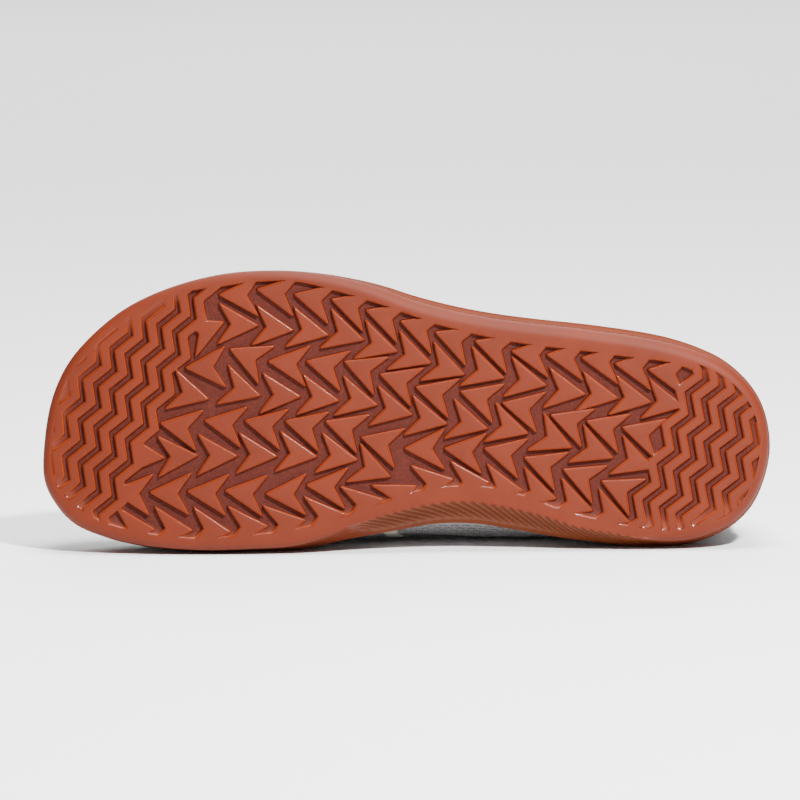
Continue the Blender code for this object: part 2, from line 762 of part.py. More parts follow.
def collar_binding(collection):
    """Soft rolled edge that runs around the opening."""
    curve = bpy.data.curves.new("collar_binding", "CURVE")
    curve.dimensions = "3D"
    curve.bevel_depth = BINDING_DIAMETER / 2
    curve.bevel_resolution = 1
    ring = curve.splines.new("POLY")
    ring.points.add(len(GRID) - 1)
    ring.use_cyclic_u = True
    for i, slot in enumerate(ring.points):
        top = GRID[i][-1]
        upward = (top - GRID[i][-2]).normalized()
        around = GRID[(i + 1) % len(GRID)][-1] - GRID[i - 1][-1]
        out = upward.cross(around).normalized()
        centre = top + upward * (BINDING_DIAMETER / 2 + SOFT_GAP) - out * UPPER_WALL / 2
        slot.co = (centre.x, centre.y, centre.z, 1.0)
    piece = new_object("collar_binding", curve, collection)
    curve.materials.append(material("binding_knit", BINDING))
    return piece


# Stance

def mass_point(piece, density):
    """Mass of a piece and its centre."""
    graph = bpy.context.evaluated_depsgraph_get()
    mesh = bpy.data.meshes.new_from_object(piece.evaluated_get(graph))
    mesh.calc_loop_triangles()
    volume = 0.0
    centre = Vector()
    for triangle in mesh.loop_triangles:
        a, b, c = (mesh.vertices[k].co for k in triangle.vertices)
        part = a.dot(b.cross(c)) / 6.0
        volume += part
        centre += (a + b + c) * part / 4.0
    corners = [vert.co.copy() for vert in mesh.vertices]
    return volume * density, centre / volume, corners


def lay_on_side(pieces):
    """Turn the shoe onto the side that it rests on, with its middle over the origin."""
    bpy.context.view_layer.update()
    weighed = [mass_point(piece, density) for piece, density in pieces]
    total = sum(mass for mass, _, _ in weighed)
    balance = sum((centre * mass for mass, centre, _ in weighed), Vector()) / total
    corners = [corner for _, _, group in weighed for corner in group]
    hull = bmesh.new()
    for corner in corners:
        hull.verts.new(corner)
    bmesh.ops.convex_hull(hull, input=hull.verts)
    inner_side = Vector((0.0, -1.0, 0.0))
    under = None
    for face in hull.faces:
        foot = balance + face.normal * (face.verts[0].co - balance).dot(face.normal)
        edges = zip(face.verts, face.verts[1:] + face.verts[:1])
        held = all((b.co - a.co).cross(foot - a.co).dot(face.normal) >= 0.0 for a, b in edges)
        if held and (under is None or face.normal.dot(inner_side) > under.dot(inner_side)):
            under = face.normal.copy()
    hull.free()
    on_edge = Matrix(((-1.0, 0.0, 0.0), (0.0, 0.0, 1.0), (0.0, 1.0, 0.0)))
    down = on_edge @ under
    turn = down.rotation_difference(Vector((0.0, 0.0, -1.0))).to_matrix() @ on_edge
    placed = [turn @ corner for corner in corners]
    low = Vector(min(place[k] for place in placed) for k in range(3))
    high = Vector(max(place[k] for place in placed) for k in range(3))
    stance = bpy.data.objects.new("stance", None)
    bpy.context.scene.collection.objects.link(stance)
    stance.location = (-(low.x + high.x) / 2, -(low.y + high.y) / 2, -low.z)
    stance.rotation_euler = turn.to_euler()
    for piece, _ in pieces:
        piece.parent = stance


COLUMNS = plain_columns()
LINES = upper_lines()
GRID = [upper_line(point, normal, share, UPPER_LEVELS) for point, normal, share in COLUMNS]


def main():
    for old in list(bpy.data.objects):
        bpy.data.objects.remove(old)
    shoe = bpy.data.collections.new("barefoot_shoe")
    cutters = bpy.data.collections.new("cutters")
    for collection in (shoe, cutters):
        bpy.context.scene.collection.children.link(collection)
    lay_on_side((
        (outsole(shoe, cutters), RUBBER_DENSITY),
        (insole(shoe), FOAM_DENSITY),
        (upper(shoe), KNIT_DENSITY),
        (saddle_strip(shoe), KNIT_DENSITY),
        (collar_binding(shoe), KNIT_DENSITY),
    ))


main()
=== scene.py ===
"""Barefoot shoe for the left foot, lying on its inner side: the finish of every piece."""
import math

import bmesh
import bpy
import numpy as np
from bpy.props import FloatProperty, FloatVectorProperty, PointerProperty
from mathutils import Euler, Matrix, Vector
from mathutils.bvhtree import BVHTree
from mathutils.geometry import delaunay_2d_cdt


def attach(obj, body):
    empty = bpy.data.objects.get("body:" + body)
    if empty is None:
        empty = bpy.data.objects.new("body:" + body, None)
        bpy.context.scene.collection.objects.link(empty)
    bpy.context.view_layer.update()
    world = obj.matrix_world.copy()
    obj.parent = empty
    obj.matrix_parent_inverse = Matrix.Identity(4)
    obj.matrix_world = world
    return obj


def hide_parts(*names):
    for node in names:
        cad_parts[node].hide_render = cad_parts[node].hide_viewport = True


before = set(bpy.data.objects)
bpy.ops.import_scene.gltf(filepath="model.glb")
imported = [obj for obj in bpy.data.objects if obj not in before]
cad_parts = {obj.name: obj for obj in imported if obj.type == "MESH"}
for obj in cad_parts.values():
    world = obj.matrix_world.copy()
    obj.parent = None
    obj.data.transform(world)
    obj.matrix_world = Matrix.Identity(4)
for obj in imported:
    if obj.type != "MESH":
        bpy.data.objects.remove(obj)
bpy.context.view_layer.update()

bl_info = {
    "name": "Barefoot Shoe",
    "version": (1, 0, 0),
    "blender": (4, 5, 0),
    "location": "View3D > Sidebar > Shoe",
    "description": "Builds a barefoot shoe with a gum sole and a knitted upper, lying on its side",
    "category": "Object",
}

BODY = "root"

# The shoe is worked out sole down: X from heel to toe, Y to the outer side, Z up.
# The stance turns it onto the side that it lies on, as the frame has it.
STANCE_DEGREES = (-81.57133, -173.90774, -0.44934)
STANCE_PLACE = (0.138796, -0.040158, 0.036317)

# Outline of the sole seen from below, in shares of the length and the ball width
OUTLINE = (
    # along, lateral, medial
    (0.0127, 0.146, -0.160),
    (0.0360, 0.233, -0.247),
    (0.0725, 0.304, -0.311),
    (0.1087, 0.341, -0.345),
    (0.163, 0.371, -0.364),
    (0.254, 0.386, -0.364),
    (0.344, 0.389, -0.348),
    (0.399, 0.394, -0.341),
    (0.453, 0.406, -0.356),
    (0.507, 0.427, -0.394),
    (0.562, 0.456, -0.432),
    (0.634, 0.474, -0.488),
    (0.707, 0.469, -0.512),
    (0.779, 0.438, -0.530),
    (0.851, 0.371, -0.530),
    (0.906, 0.288, -0.510),
    (0.949, 0.183, -0.473),
    (0.978, 0.078, -0.407),
    (0.995, -0.046, -0.333),
)
HEEL_END = (0.0, 0.004)
TOE_END = (1.0, -0.195)

# Edge of the field that holds the lugs, in the same shares
FIELD = (
    # along, lateral, medial
    (0.0145, 0.122, -0.128),
    (0.033, 0.187, -0.187),
    (0.058, 0.247, -0.239),
    (0.087, 0.283, -0.268),
    (0.120, 0.296, -0.298),
    (0.170, 0.284, -0.302),
    (0.261, 0.291, -0.275),
    (0.348, 0.296, -0.224),
    (0.391, 0.304, -0.213),
    (0.435, 0.318, -0.223),
    (0.478, 0.336, -0.249),
    (0.525, 0.366, -0.300),
    (0.572, 0.394, -0.354),
    (0.620, 0.417, -0.404),
    (0.670, 0.435, -0.440),
    (0.725, 0.423, -0.467),
    (0.772, 0.396, -0.485),
    (0.833, 0.355, -0.487),
    (0.888, 0.276, -0.471),
    (0.928, 0.185, -0.440),
    (0.957, 0.096, -0.395),
    (0.978, 0.000, -0.342),
)
FIELD_HEEL_END = (0.0055, -0.010)
FIELD_TOE_END = (0.988, -0.183)

# How far the tread's edge lies inside the rim, as a share of the ball width
FLARE = (
    # along, lateral, medial
    (0.00, 0.012, 0.012),
    (0.12, 0.024, 0.020),
    (0.18, 0.028, 0.030),
    (0.26, 0.028, 0.043),
    (0.31, 0.026, 0.061),
    (0.36, 0.026, 0.069),
    (0.41, 0.026, 0.071),
    (0.45, 0.026, 0.067),
    (0.51, 0.024, 0.059),
    (0.55, 0.018, 0.046),
    (0.60, 0.010, 0.026),
    (0.66, 0.005, 0.012),
    (0.75, 0.004, 0.005),
    (1.00, 0.004, 0.004),
)

# Rounding of the tread's edge, as a share of the full rounding
SOFTNESS = (
    # along, lateral, medial
    (0.00, 0.80, 0.80),
    (0.12, 1.00, 0.60),
    (0.20, 1.00, 0.10),
    (0.55, 1.00, 0.10),
    (0.66, 0.85, 0.60),
    (0.80, 0.75, 0.75),
    (1.00, 0.75, 0.75),
)

# Lugs that set each row of arrows: the lugs between two of them are spaced evenly.
# The tip is in shares of length and ball width, the lean in degrees.
LUG_ROWS = (
    # row, points to, ((number, along, across, lean), ...)
    ("outer border", "toe", ((0, 0.7768, 0.363, -4), (1, 0.7257, 0.394, 4), (3, 0.6228, 0.384, 13),
                             (6, 0.4764, 0.305, 15), (7, 0.4207, 0.288, 13), (8, 0.3692, 0.265, 3),
                             (10, 0.2725, 0.265, 3), (12, 0.1797, 0.247, 4))),
    ("outer", "heel", ((0, 0.7678, 0.270, -29), (1, 0.7203, 0.270, -3), (4, 0.5736, 0.255, 11),
                       (7, 0.4312, 0.169, 14), (8, 0.3768, 0.170, 12), (9, 0.3178, 0.159, 7),
                       (10, 0.2630, 0.141, 4), (13, 0.1268, 0.132, 6))),
    ("outer inside", "toe", ((0, 0.8134, 0.100, -7), (1, 0.7551, 0.179, 18), (2, 0.7007, 0.149, 1),
                             (4, 0.5971, 0.174, 16), (6, 0.4960, 0.109, 11), (7, 0.4341, 0.109, 12),
                             (8, 0.3754, 0.083, 8), (9, 0.3076, 0.058, 14), (11, 0.2080, 0.039, 11))),
    ("middle outer", "heel", ((0, 0.7779, 0.000, 9), (1, 0.7076, 0.028, 11), (2, 0.6525, 0.039, -1),
                              (4, 0.5464, 0.035, 8), (6, 0.4486, -0.007, 7), (8, 0.3366, -0.013, 11),
                              (9, 0.2746, -0.047, 18), (11, 0.1601, -0.091, 14))),
    ("middle inner", "toe", ((0, 0.8406, -0.100, 5), (1, 0.7801, -0.076, 4), (4, 0.6149, -0.039, 13),
                             (5, 0.5638, -0.083, 10), (6, 0.5029, -0.106, -5), (8, 0.3942, -0.080, 9),
                             (9, 0.3380, -0.098, 15), (11, 0.2293, -0.153, 19))),
    ("inner inside", "heel", ((0, 0.8312, -0.218, 0), (1, 0.7859, -0.199, -7), (4, 0.6221, -0.163, 2),
                              (5, 0.5663, -0.161, 5), (6, 0.5192, -0.208, 15))),
    ("inner", "toe", ((0, 0.8986, -0.350, 0), (1, 0.8457, -0.342, -3), (3, 0.7428, -0.311, 2),
                      (4, 0.6866, -0.309, -5), (5, 0.6322, -0.265, -1))),
    ("inner border", "heel", ((0, 0.8355, -0.467, -2), (2, 0.7304, -0.451, 1), (4, 0.6301, -0.386, -14),
                              (5, 0.5761, -0.351, -10), (6, 0.5264, -0.288, -16), (7, 0.4830, -0.231, -32),
                              (8, 0.4330, -0.195, -15), (9, 0.3826, -0.195, -4), (11, 0.2895, -0.229, 12),
                              (13, 0.1866, -0.285, 15))),
)

# Outermost corner of the zigzag rib that lies next to the arrows, in the same shares
TOE_RIB_START = (0.8623, -0.0475)
HEEL_RIB_START = (0.1549, 0.0626)

# Tread lengths in metres, as in the solids
RIB_RUN = (-0.0020, -0.0078)
TOE_RIB_SLANT = (0.00665, -0.0064)
TOE_RIB_BREADTH = (-0.0034, -0.0006)
TOE_RIB_STEP = (0.00625, 0.0019)
HEEL_RIB_RUN = (-0.0024, -0.0083)
HEEL_RIB_SLANT = (0.0064, -0.0058)
HEEL_RIB_BREADTH = (-0.0032, -0.0010)
HEEL_RIB_STEP = (-0.00638, -0.00202)
RIBS_AT_EACH_END = 7

# Smooth land beyond the pit at the outer side of the heel, in the same shares
PIT_EDGE = (
    # along, across
    (0.1847, 0.2867),
    (0.1540, 0.2812),
    (0.1378, 0.2750),
    (0.1200, 0.2619),
    (0.1150, 0.2784),
    (0.1172, 0.3339),
    (0.1859, 0.3172),
)

# Cross-section of a lug's edge: distance inside its outline in metres, depth as a share of the tread
LUG_EDGE = (
    # inside, depth
    (0.00050, 0.0),
    (0.00026, 0.015),
    (0.00010, 0.06),
    (0.0, 0.15),
    (-0.00040, 0.62),
    (-0.00070, 0.93),
    (-0.00095, 1.0),
    (-0.00125, 1.0),
)

# Lines of the upper from the sole to the collar, around the shoe.
# along: where the line leaves the sole; turn: where it meets the collar, in degrees from its front;
# rise: how steeply it starts, and fall: how it comes down from the collar, shares of the instep height;
# lean: how far it swells outward, share of the ball width; reach: how far it runs out, share of the length.
UPPER_LINES = (
    # side, along, turn, rise, lean, reach, fall
    ("heel", 0.000, 180, 0.33, 0.035, 0.005, 0.28),
    ("lateral", 0.070, 158, 0.33, 0.035, 0.005, 0.26),
    ("lateral", 0.180, 130, 0.32, 0.035, 0.010, 0.22),
    ("lateral", 0.300, 104, 0.32, 0.030, 0.018, 0.20),
    ("lateral", 0.420, 80, 0.34, 0.035, 0.030, 0.26),
    ("lateral", 0.540, 56, 0.34, 0.040, 0.080, 0.20),
    ("lateral", 0.680, 36, 0.32, 0.030, 0.130, 0.22),
    ("lateral", 0.820, 19, 0.31, 0.020, 0.180, 0.27),
    ("lateral", 0.940, 8, 0.31, 0.012, 0.220, 0.32),
    ("toe", 1.000, 0, 0.31, 0.010, 0.240, 0.35),
    ("medial", 0.940, -9, 0.31, 0.012, 0.235, 0.33),
    ("medial", 0.820, -21, 0.33, 0.015, 0.195, 0.27),
    ("medial", 0.680, -38, 0.36, 0.020, 0.140, 0.21),
    ("medial", 0.540, -58, 0.38, 0.075, 0.085, 0.20),
    ("medial", 0.420, -82, 0.36, 0.165, 0.030, 0.24),
    ("medial", 0.300, -105, 0.33, 0.084, 0.018, 0.20),
    ("medial", 0.180, -131, 0.32, 0.034, 0.010, 0.22),
    ("medial", 0.070, -158, 0.33, 0.035, 0.005, 0.26),
)

# Height of the collar around its ring, between the back height (0) and the instep height (1)
COLLAR_LINE = (
    # turn, height
    (-40, 0.80),
    (0, 1.00),
    (40, 0.80),
    (75, 0.15),
    (110, -0.72),
    (145, -0.42),
    (180, 0.00),
    (215, -0.42),
)

# The strip's way over the upper: place is a share of the outline, up a share of the upper's line
STRIP_WAY = (
    # place, up
    (0.262, 0.03),
    (0.266, 0.30),
    (0.295, 0.60),
    (0.375, 0.82),
    (0.500, 0.89),
    (0.625, 0.82),
    (0.710, 0.60),
    (0.742, 0.30),
    (0.750, 0.03),
)

# Soft creases of the upper: where they start and end, their depth and half breadth in metres
CREASES = (
    # place, up, end place, end up, depth, breadth
    (0.330, 0.42, 0.420, 0.60, 0.0014, 0.0060),
    (0.345, 0.30, 0.440, 0.46, 0.0011, 0.0055),
    (0.670, 0.42, 0.580, 0.60, 0.0014, 0.0060),
    (0.655, 0.30, 0.560, 0.46, 0.0011, 0.0055),
    (0.180, 0.35, 0.235, 0.75, 0.0012, 0.0075),
    (0.820, 0.35, 0.770, 0.75, 0.0012, 0.0075),
    (0.060, 0.30, 0.110, 0.62, 0.0010, 0.0065),
    (0.940, 0.30, 0.890, 0.62, 0.0010, 0.0065),
)

# Fineness of the meshes: steps and levels are counts, the others lengths in metres
OUTLINE_STEPS = 24
RIM_STEP = 0.0024
ARCH_STEP = 0.00058
LATTICE_STEP = 0.004
EDGE_LEVELS = 6
SIDE_LEVELS = 36
TOP_LEVELS = 6
FIELD_STEPS = 220
STITCH_PATH_STEPS = 400
INSOLE_STEPS = 200
UPPER_LEVELS = 44
UPPER_STEP = 0.0028
STRIP_PIECES = 160
STRIP_SMOOTHING = 120
BINDING_STEPS = 8
BINDING_SIDES = 14

# The cup's side: shares of its profile where the rounded edge and the flat side end, share of the rim's
# height where it is widest, shares of its inner wall from the rim down
EDGE_END = 0.25
SIDE_END = 0.80
WIDEST_SHARE = 0.76
INNER_LEVELS = (0.0, 0.25, 0.6, 1.0)

# Along the sole, in shares of its length: where the toe and the heel curl up and over what length,
# how far the arch reaches (place and share), and where the stitches are hidden on the inner side
TOE_CURL = (0.66, 0.34)
HEEL_CURL = 0.10
ARCH_REACH = ((0.0, 0.14, 0.20, 0.52, 0.57, 1.0), (0.0, 0.0, 1.0, 1.0, 0.0, 0.0))
HIDDEN_SEAM = (0.5, 0.8)
SEAM_REACH = 0.0007

# The arch's ribs: depth over the height of the side, and the share of a rib that rises slowly
ARCH_RIB_FADE = ((0.0, 0.30, 0.62, 1.0), (0.60, 0.95, 0.0, 0.0))
ARCH_RIB_RISE = 0.78

# Run-out of the grooves towards the field's edge, in metres, and the depth share that stays
ZIGZAG_FADE = 0.0080
POCKET_FADE = 0.0034
SHALLOWEST = 0.12
POCKET_LOSS = 0.65

# Slope of the first zigzag rib at each end, and how the two kinds of run-out blend there
HEEL_RIB_SLOPE = 0.284
TOE_RIB_SLOPE = 0.327
RIB_FADE_EDGE = 0.006
RIB_FADE_BLEND = 0.004

# Arrow lug: length, half span and depth of its notch; rounding of its corners from the tip round
ARROW_SIZES = (0.0150, 0.00775, 0.0101)
ARROW_ROUNDING = (0.00018, 0.0002, 0.0010, 0.0002)
RIB_ROUNDING = (0.0007,)
RIB_FOLDS = range(-6, 7)

# The collar: how much narrower its front is, and how full its curve
COLLAR_TAPER = 0.20
COLLAR_FULLNESS = 0.78

# Pinholes of the knit: spacing in a row and between rows, places in a cluster, radii of a hole's edge
HOLE_PITCH = 0.0044
HOLE_ROW = 0.0023
HOLE_CLUSTER = ((-0.00105, 0.00018), (0.0, -0.00022), (0.00105, 0.00018))
HOLE_RADII = (0.00026, 0.00052)
WALE_PITCH = 0.0011
COURSE_PITCH = 0.0009

# Cross-section of the strip in half widths and thicknesses, and how it stands on the knit in metres
STRIP_PROFILE = ((-1.0, 0.0), (-1.0, 0.45), (-0.90, 0.85), (-0.70, 1.0), (0.0, 1.0), (0.70, 1.0),
                 (0.90, 0.85), (1.0, 0.45), (1.0, 0.0))
STRIP_SINK = 0.0003
STRIP_LIFT = 0.0001

# Ripple of the binding's ribs, and the collar's stitches: share of the upper's line and of their pitch
BINDING_RIPPLE = 0.045
SEWN_UP = 0.955
SEWN_SHARE = 0.72

FLOOR_HALF = 40.0
WORLD_STRENGTH = 0.25
CAMERA_AIM = (-0.0021, -0.030, 0.0568)
LAMPS = (
    # name, place, aimed at, size, power
    ("key_light", (0.55, -1.05, 1.22), (0.0, 0.0, 0.05), 0.14, 80.0),
    ("fill_light", (-1.0, -1.6, 0.6), (0.0, 0.0, 0.05), 1.4, 1.0),
    ("top_light", (0.1, 0.0, 1.8), (0.0, 0.0, 0.05), 0.9, 60.0),
    ("back_light", (0.0, 3.0, 2.2), (0.0, 2.2, 0.05), 2.4, 130.0),
)


def length(name, description, default, **limits):
    """Setting for a length."""
    return FloatProperty(name=name, description=description, default=default, unit="LENGTH", **limits)


def tint(name, description, *default):
    """Setting for a colour."""
    return FloatVectorProperty(name=name, description=description, default=default, subtype="COLOR", size=3)


class ShoeSizes(bpy.types.PropertyGroup):
    """Sizes of the shoe"""
    sole_length: length("Sole length", "Heel to toe", 0.276, min=0.1)
    ball_width: length("Ball width", "Breadth over the ball", 0.1095, min=0.05)
    rim_height: length("Rim height", "Ground to the top of the cup", 0.0150)
    cup_wall: length("Cup wall", "Wall of the cup", 0.0026)
    cup_floor: length("Cup floor", "Floor of the cup, tread included", 0.0045)
    tread_depth: length("Tread depth", "Depth of the grooves", 0.0020)
    edge_rounding: length("Edge rounding", "Rounding of the sole's edge", 0.0040)
    arch_rib_pitch: length("Arch rib pitch", "Spacing of the ribs at the arch", 0.0035)
    arch_rib_depth: length("Arch rib depth", "Depth of the ribs at the arch", 0.0009)
    arch_rib_sweep: length("Arch rib sweep", "How far a rib runs heelward up the side", 0.022)
    seam_height: length("Seam height", "Moulded stitches above the ground", 0.0056)
    seam_depth: length("Seam depth", "Channel of the moulded stitches", 0.00040)
    toe_spring: length("Toe spring", "Lift of the toe", 0.0090)
    heel_spring: length("Heel spring", "Lift of the heel", 0.0020)
    insole_thickness: length("Insole thickness", "Footbed", 0.0030)
    upper_wall: length("Upper wall", "Knit with its lining", 0.0018)
    instep_height: length("Instep height", "Front of the collar", 0.084)
    back_height: length("Back height", "Back of the collar", 0.070)
    collar_length: length("Collar length", "Opening, front to back", 0.108)
    collar_width: length("Collar width", "Opening, side to side", 0.066)
    collar_back: length("Collar back", "From the heel's end to the opening", 0.007)
    collar_shift: length("Collar shift", "Front of the opening to the inner side", 0.0044)
    binding_diameter: length("Binding diameter", "Rolled edge", 0.0046)
    binding_rib: length("Binding rib", "Spacing of the ribs of the rolled edge", 0.0022)
    strip_thickness: length("Strip thickness", "Saddle strip", 0.0009)
    strip_width: length("Strip width", "Saddle strip", 0.0055)
    gap: length("Gap", "Between pieces that touch", 0.0003)
    stitch_pitch: length("Rim stitch pitch", "Spacing of the moulded stitches", 0.0044)
    stitch_length: length("Rim stitch length", "Length of a moulded stitch", 0.0034)
    moulded_thread: length("Moulded thread", "Breadth of the moulded stitches", 0.00045)
    thread: length("Thread", "Sewing thread diameter", 0.0005)
    sewn_pitch: length("Sewn pitch", "Spacing of the stitches below the collar", 0.0027)


class ShoeColours(bpy.types.PropertyGroup):
    """Colours of the shoe"""
    gum: tint("Gum", "Lugs and sides", 0.108, 0.0135, 0.0027)
    side: tint("Ribbed side", "Side at the inner waist", 0.100, 0.020, 0.0036)
    # Painted light on the lug walls: the edge colour is a painted glow of light through the gum near their
    # top, the wall colour is painted shade at their foot.
    wall: tint("Groove walls", "Steep walls of the tread", 0.050, 0.0030, 0.0006)
    edge: tint("Lug edges", "Upper part of the walls", 0.240, 0.034, 0.0035)
    moulded_stitch: tint("Moulded stitches", "Stitches of the rim", 0.230, 0.060, 0.022)
    # The groove colour is darker than the gum partly because of the grooves' own grainy rubber, and partly as
    # painted shade in the sunk tread.
    groove: tint("Groove", "Sunk parts of the tread", 0.050, 0.0064, 0.0026)
    # The knit colour is darker than the pale knit: painted shade, as on its underside below the arch.
    knit: tint("Knit", "Upper", 0.24, 0.233, 0.236)
    lining: tint("Lining", "Inside of the upper", 0.50, 0.49, 0.48)
    # The strip colour is darker than the cream strip: painted shade, as at its end under the arch; the sewing
    # thread shares it.
    strip: tint("Strip", "Saddle strip and sewing thread", 0.38, 0.36, 0.315)
    binding: tint("Binding", "Rolled edge of the collar", 0.56, 0.55, 0.53)
    foam: tint("Footbed", "Cloth on the footbed", 0.30, 0.29, 0.285)
    floor: tint("Floor", "Studio floor", 0.90, 0.90, 0.90)


class StudioSettings(bpy.types.PropertyGroup):
    """Camera"""
    lens: FloatProperty(name="Lens", description="Focal length in millimetres", default=283.8)
    distance: length("Distance", "Camera to the sole", 2.4)
    elevation: FloatProperty(name="Elevation", description="Camera above the floor, in degrees", default=7.0)
    roll: FloatProperty(name="Roll", description="Camera roll in degrees", default=-0.60)


def sizes():
    return bpy.context.scene.shoe_sizes


def colours():
    return bpy.context.scene.shoe_colours


def stance():
    """Matrix from the shoe standing sole down to the shoe as it lies."""
    turn = Euler([math.radians(angle) for angle in STANCE_DEGREES]).to_matrix().to_4x4()
    return Matrix.Translation(STANCE_PLACE) @ turn


def slopes(xs, ys):
    """Slopes that keep a curve through the points free of overshoot."""
    steps = [(ys[i + 1] - ys[i]) / (xs[i + 1] - xs[i]) for i in range(len(xs) - 1)]
    inner = []
    for before, after in zip(steps, steps[1:]):
        flat = before * after <= 0.0
        inner.append(0.0 if flat else 2.0 * before * after / (before + after))
    return [steps[0]] + inner + [steps[-1]]


def smooth_value(xs, ys, x):
    """Value at x of the smooth curve through the points."""
    x = min(max(x, xs[0]), xs[-1])
    i = max(k for k in range(len(xs) - 1) if xs[k] <= x)
    m = slopes(xs, ys)
    h = xs[i + 1] - xs[i]
    t = (x - xs[i]) / h
    rise = ys[i] * (2 * t ** 3 - 3 * t ** 2 + 1) + ys[i + 1] * (3 * t ** 2 - 2 * t ** 3)
    return rise + h * (m[i] * (t ** 3 - 2 * t ** 2 + t) + m[i + 1] * (t ** 3 - t ** 2))


def middle_at(x):
    """Line between the outer and the inner side, from the heel's end to the toe's end."""
    share = min(max(x / sizes().sole_length, 0.0), 1.0)
    heel, toe = HEEL_END[1] * sizes().ball_width, TOE_END[1] * sizes().ball_width
    return heel + (toe - heel) * smooth_value((0.0, 0.6, 1.0), (0.0, 0.2, 1.0), share)


def side_value(table, point):
    """Value of an along, lateral, medial table at a point of the plan."""
    column = 1 if point.y > middle_at(point.x) else 2
    return smooth_value([row[0] for row in table], [row[column] for row in table],
                        point.x / sizes().sole_length)


def closed_curve(points, steps):
    """Smooth closed curve through the points, with so many steps between each two."""
    curve = []
    count = len(points)
    for i in range(count):
        a, b, c, d = (points[(i + k) % count] for k in (-1, 0, 1, 2))
        ta, tb, tc = ((b - a).length ** 0.5, (c - b).length ** 0.5, (d - c).length ** 0.5)
        m1 = ((b - a) / ta - (c - a) / (ta + tb) + (c - b) / tb) * tb
        m2 = ((c - b) / tb - (d - b) / (tb + tc) + (d - c) / tc) * tb
        for k in range(steps):
            t = k / steps
            curve.append(b * (2 * t ** 3 - 3 * t ** 2 + 1) + c * (3 * t ** 2 - 2 * t ** 3)
                         + m1 * (t ** 3 - 2 * t ** 2 + t) + m2 * (t ** 3 - t ** 2))
    return curve


def laid_down(points):
    """Points of the standing shoe, moved to where they lie."""
    place = np.array(stance())
    return np.asarray(points, float) @ place[:3, :3].T + place[:3, 3]


def plan_loop(table, heel_end, toe_end):
    """Closed plan curve of a table: heel, outer side, toe, inner side."""
    scale = (sizes().sole_length, sizes().ball_width)
    rows = [heel_end] + [(row[0], row[1]) for row in table] + [toe_end]
    rows += [(row[0], row[2]) for row in reversed(table)]
    points = [Vector((along * scale[0], across * scale[1])) for along, across in rows]
    return closed_curve(points, OUTLINE_STEPS)


def running_length(curve, crowding=lambda point: 1.0):
    """Length of a closed curve up to each of its points, stretched where crowding is higher."""
    sums = [0.0]
    for i, point in enumerate(curve):
        after = curve[(i + 1) % len(curve)]
        sums.append(sums[-1] + (after - point).length * crowding(point))
    return sums


def evenly(curve, count, crowding=lambda point: 1.0):
    """So many points around a closed curve, closer where crowding is higher."""
    sums = running_length(curve, crowding)
    picked = []
    i = 0
    for k in range(count):
        goal = sums[-1] * k / count
        while sums[i + 1] <= goal:
            i += 1
        share = (goal - sums[i]) / (sums[i + 1] - sums[i])
        picked.append(curve[i].lerp(curve[(i + 1) % len(curve)], share))
    return picked


def inward_normals(loop):
    """Unit normals of a closed plan loop that runs heel, outer side, toe, inner side."""
    normals = []
    for i in range(len(loop)):
        run = (loop[(i + 1) % len(loop)] - loop[i - 1]).normalized()
        normals.append(Vector((run.y, -run.x)))
    return normals


def in_arch(point):
    """How far a point of the outline lies in the ribbed arch, 0 to 1."""
    share = point.x / sizes().sole_length
    inside = smooth_value(*ARCH_REACH, share)
    return inside if point.y < middle_at(point.x) else 0.0


def spring(x):
    """Lift of the sole at a place along the shoe: the toe curls up, the heel a little."""
    share = np.asarray(x) / sizes().sole_length
    toe = np.maximum(0.0, (share - TOE_CURL[0]) / TOE_CURL[1])
    heel = np.maximum(0.0, (HEEL_CURL - share) / HEEL_CURL)
    return sizes().toe_spring * toe ** 2 + sizes().heel_spring * heel ** 2


def rim_outline():
    """The rim's outline as a dense closed curve."""
    return plan_loop(OUTLINE, HEEL_END, TOE_END)


def inset_at(point, height, straightness):
    """How far a side of the cup lies inside the rim's outline at a height, by its flare."""
    flare = side_value(FLARE, point) * sizes().ball_width
    share = min(max(height / (WIDEST_SHARE * sizes().rim_height), 0.0), 1.0)
    return flare * (1.0 - share) ** straightness


def side_inset(point, height):
    """How far the cup's outer side lies inside the rim's outline at a height."""
    return inset_at(point, height, 0.55 + 0.60 * in_arch(point))


def cup_inset(point, height):
    """How far the cup's inner wall lies inside the rim's outline at a height."""
    return inset_at(point, height, 1.15) + sizes().cup_wall


# Mesh helpers

def bands(rings, count, around=False):
    """Faces between closed rings of so many points; around joins the last ring to the first."""
    faces = []
    for ring in range(rings if around else rings - 1):
        low, high = ring * count, (ring + 1) % rings * count
        for i in range(count):
            j = (i + 1) % count
            faces.append((low + i, low + j, high + j, high + i))
    return faces


def finished(name, verts, faces, slot_name, replaced, *materials, attributes=()):
    """A piece at the origin in the lying stance, riding on the shoe, with its faces pointing out."""
    verts = laid_down(verts)
    verts[:, 2] = np.maximum(verts[:, 2], 0.0)
    mesh = bpy.data.meshes.new(name)
    mesh.from_pydata(verts.tolist(), [], faces)
    mesh.validate()
    for label, values in attributes:
        layer = mesh.attributes.new(label, "FLOAT", "POINT")
        layer.data.foreach_set("value", np.asarray(values, np.float32))
    piece = bpy.data.objects.new(name, mesh)
    bpy.context.collection.objects.link(piece)
    mesh.shade_smooth()
    declare(piece, replaced)
    work = bmesh.new()
    work.from_mesh(mesh)
    bmesh.ops.recalc_face_normals(work, faces=work.faces)
    work.to_mesh(mesh)
    work.free()
    for material in materials:
        mesh.materials.append(material)
    return piece


def declare(piece, replaced):
    """Hang a piece on the body that it rides on, and hide the solid that it replaces."""
    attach(piece, BODY)
    if replaced:
        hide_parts(replaced)


def wire(source, socket):
    """Link a socket to another one, or set it to a value."""
    if isinstance(source, bpy.types.NodeSocket):
        socket.id_data.links.new(source, socket)
    else:
        socket.default_value = source


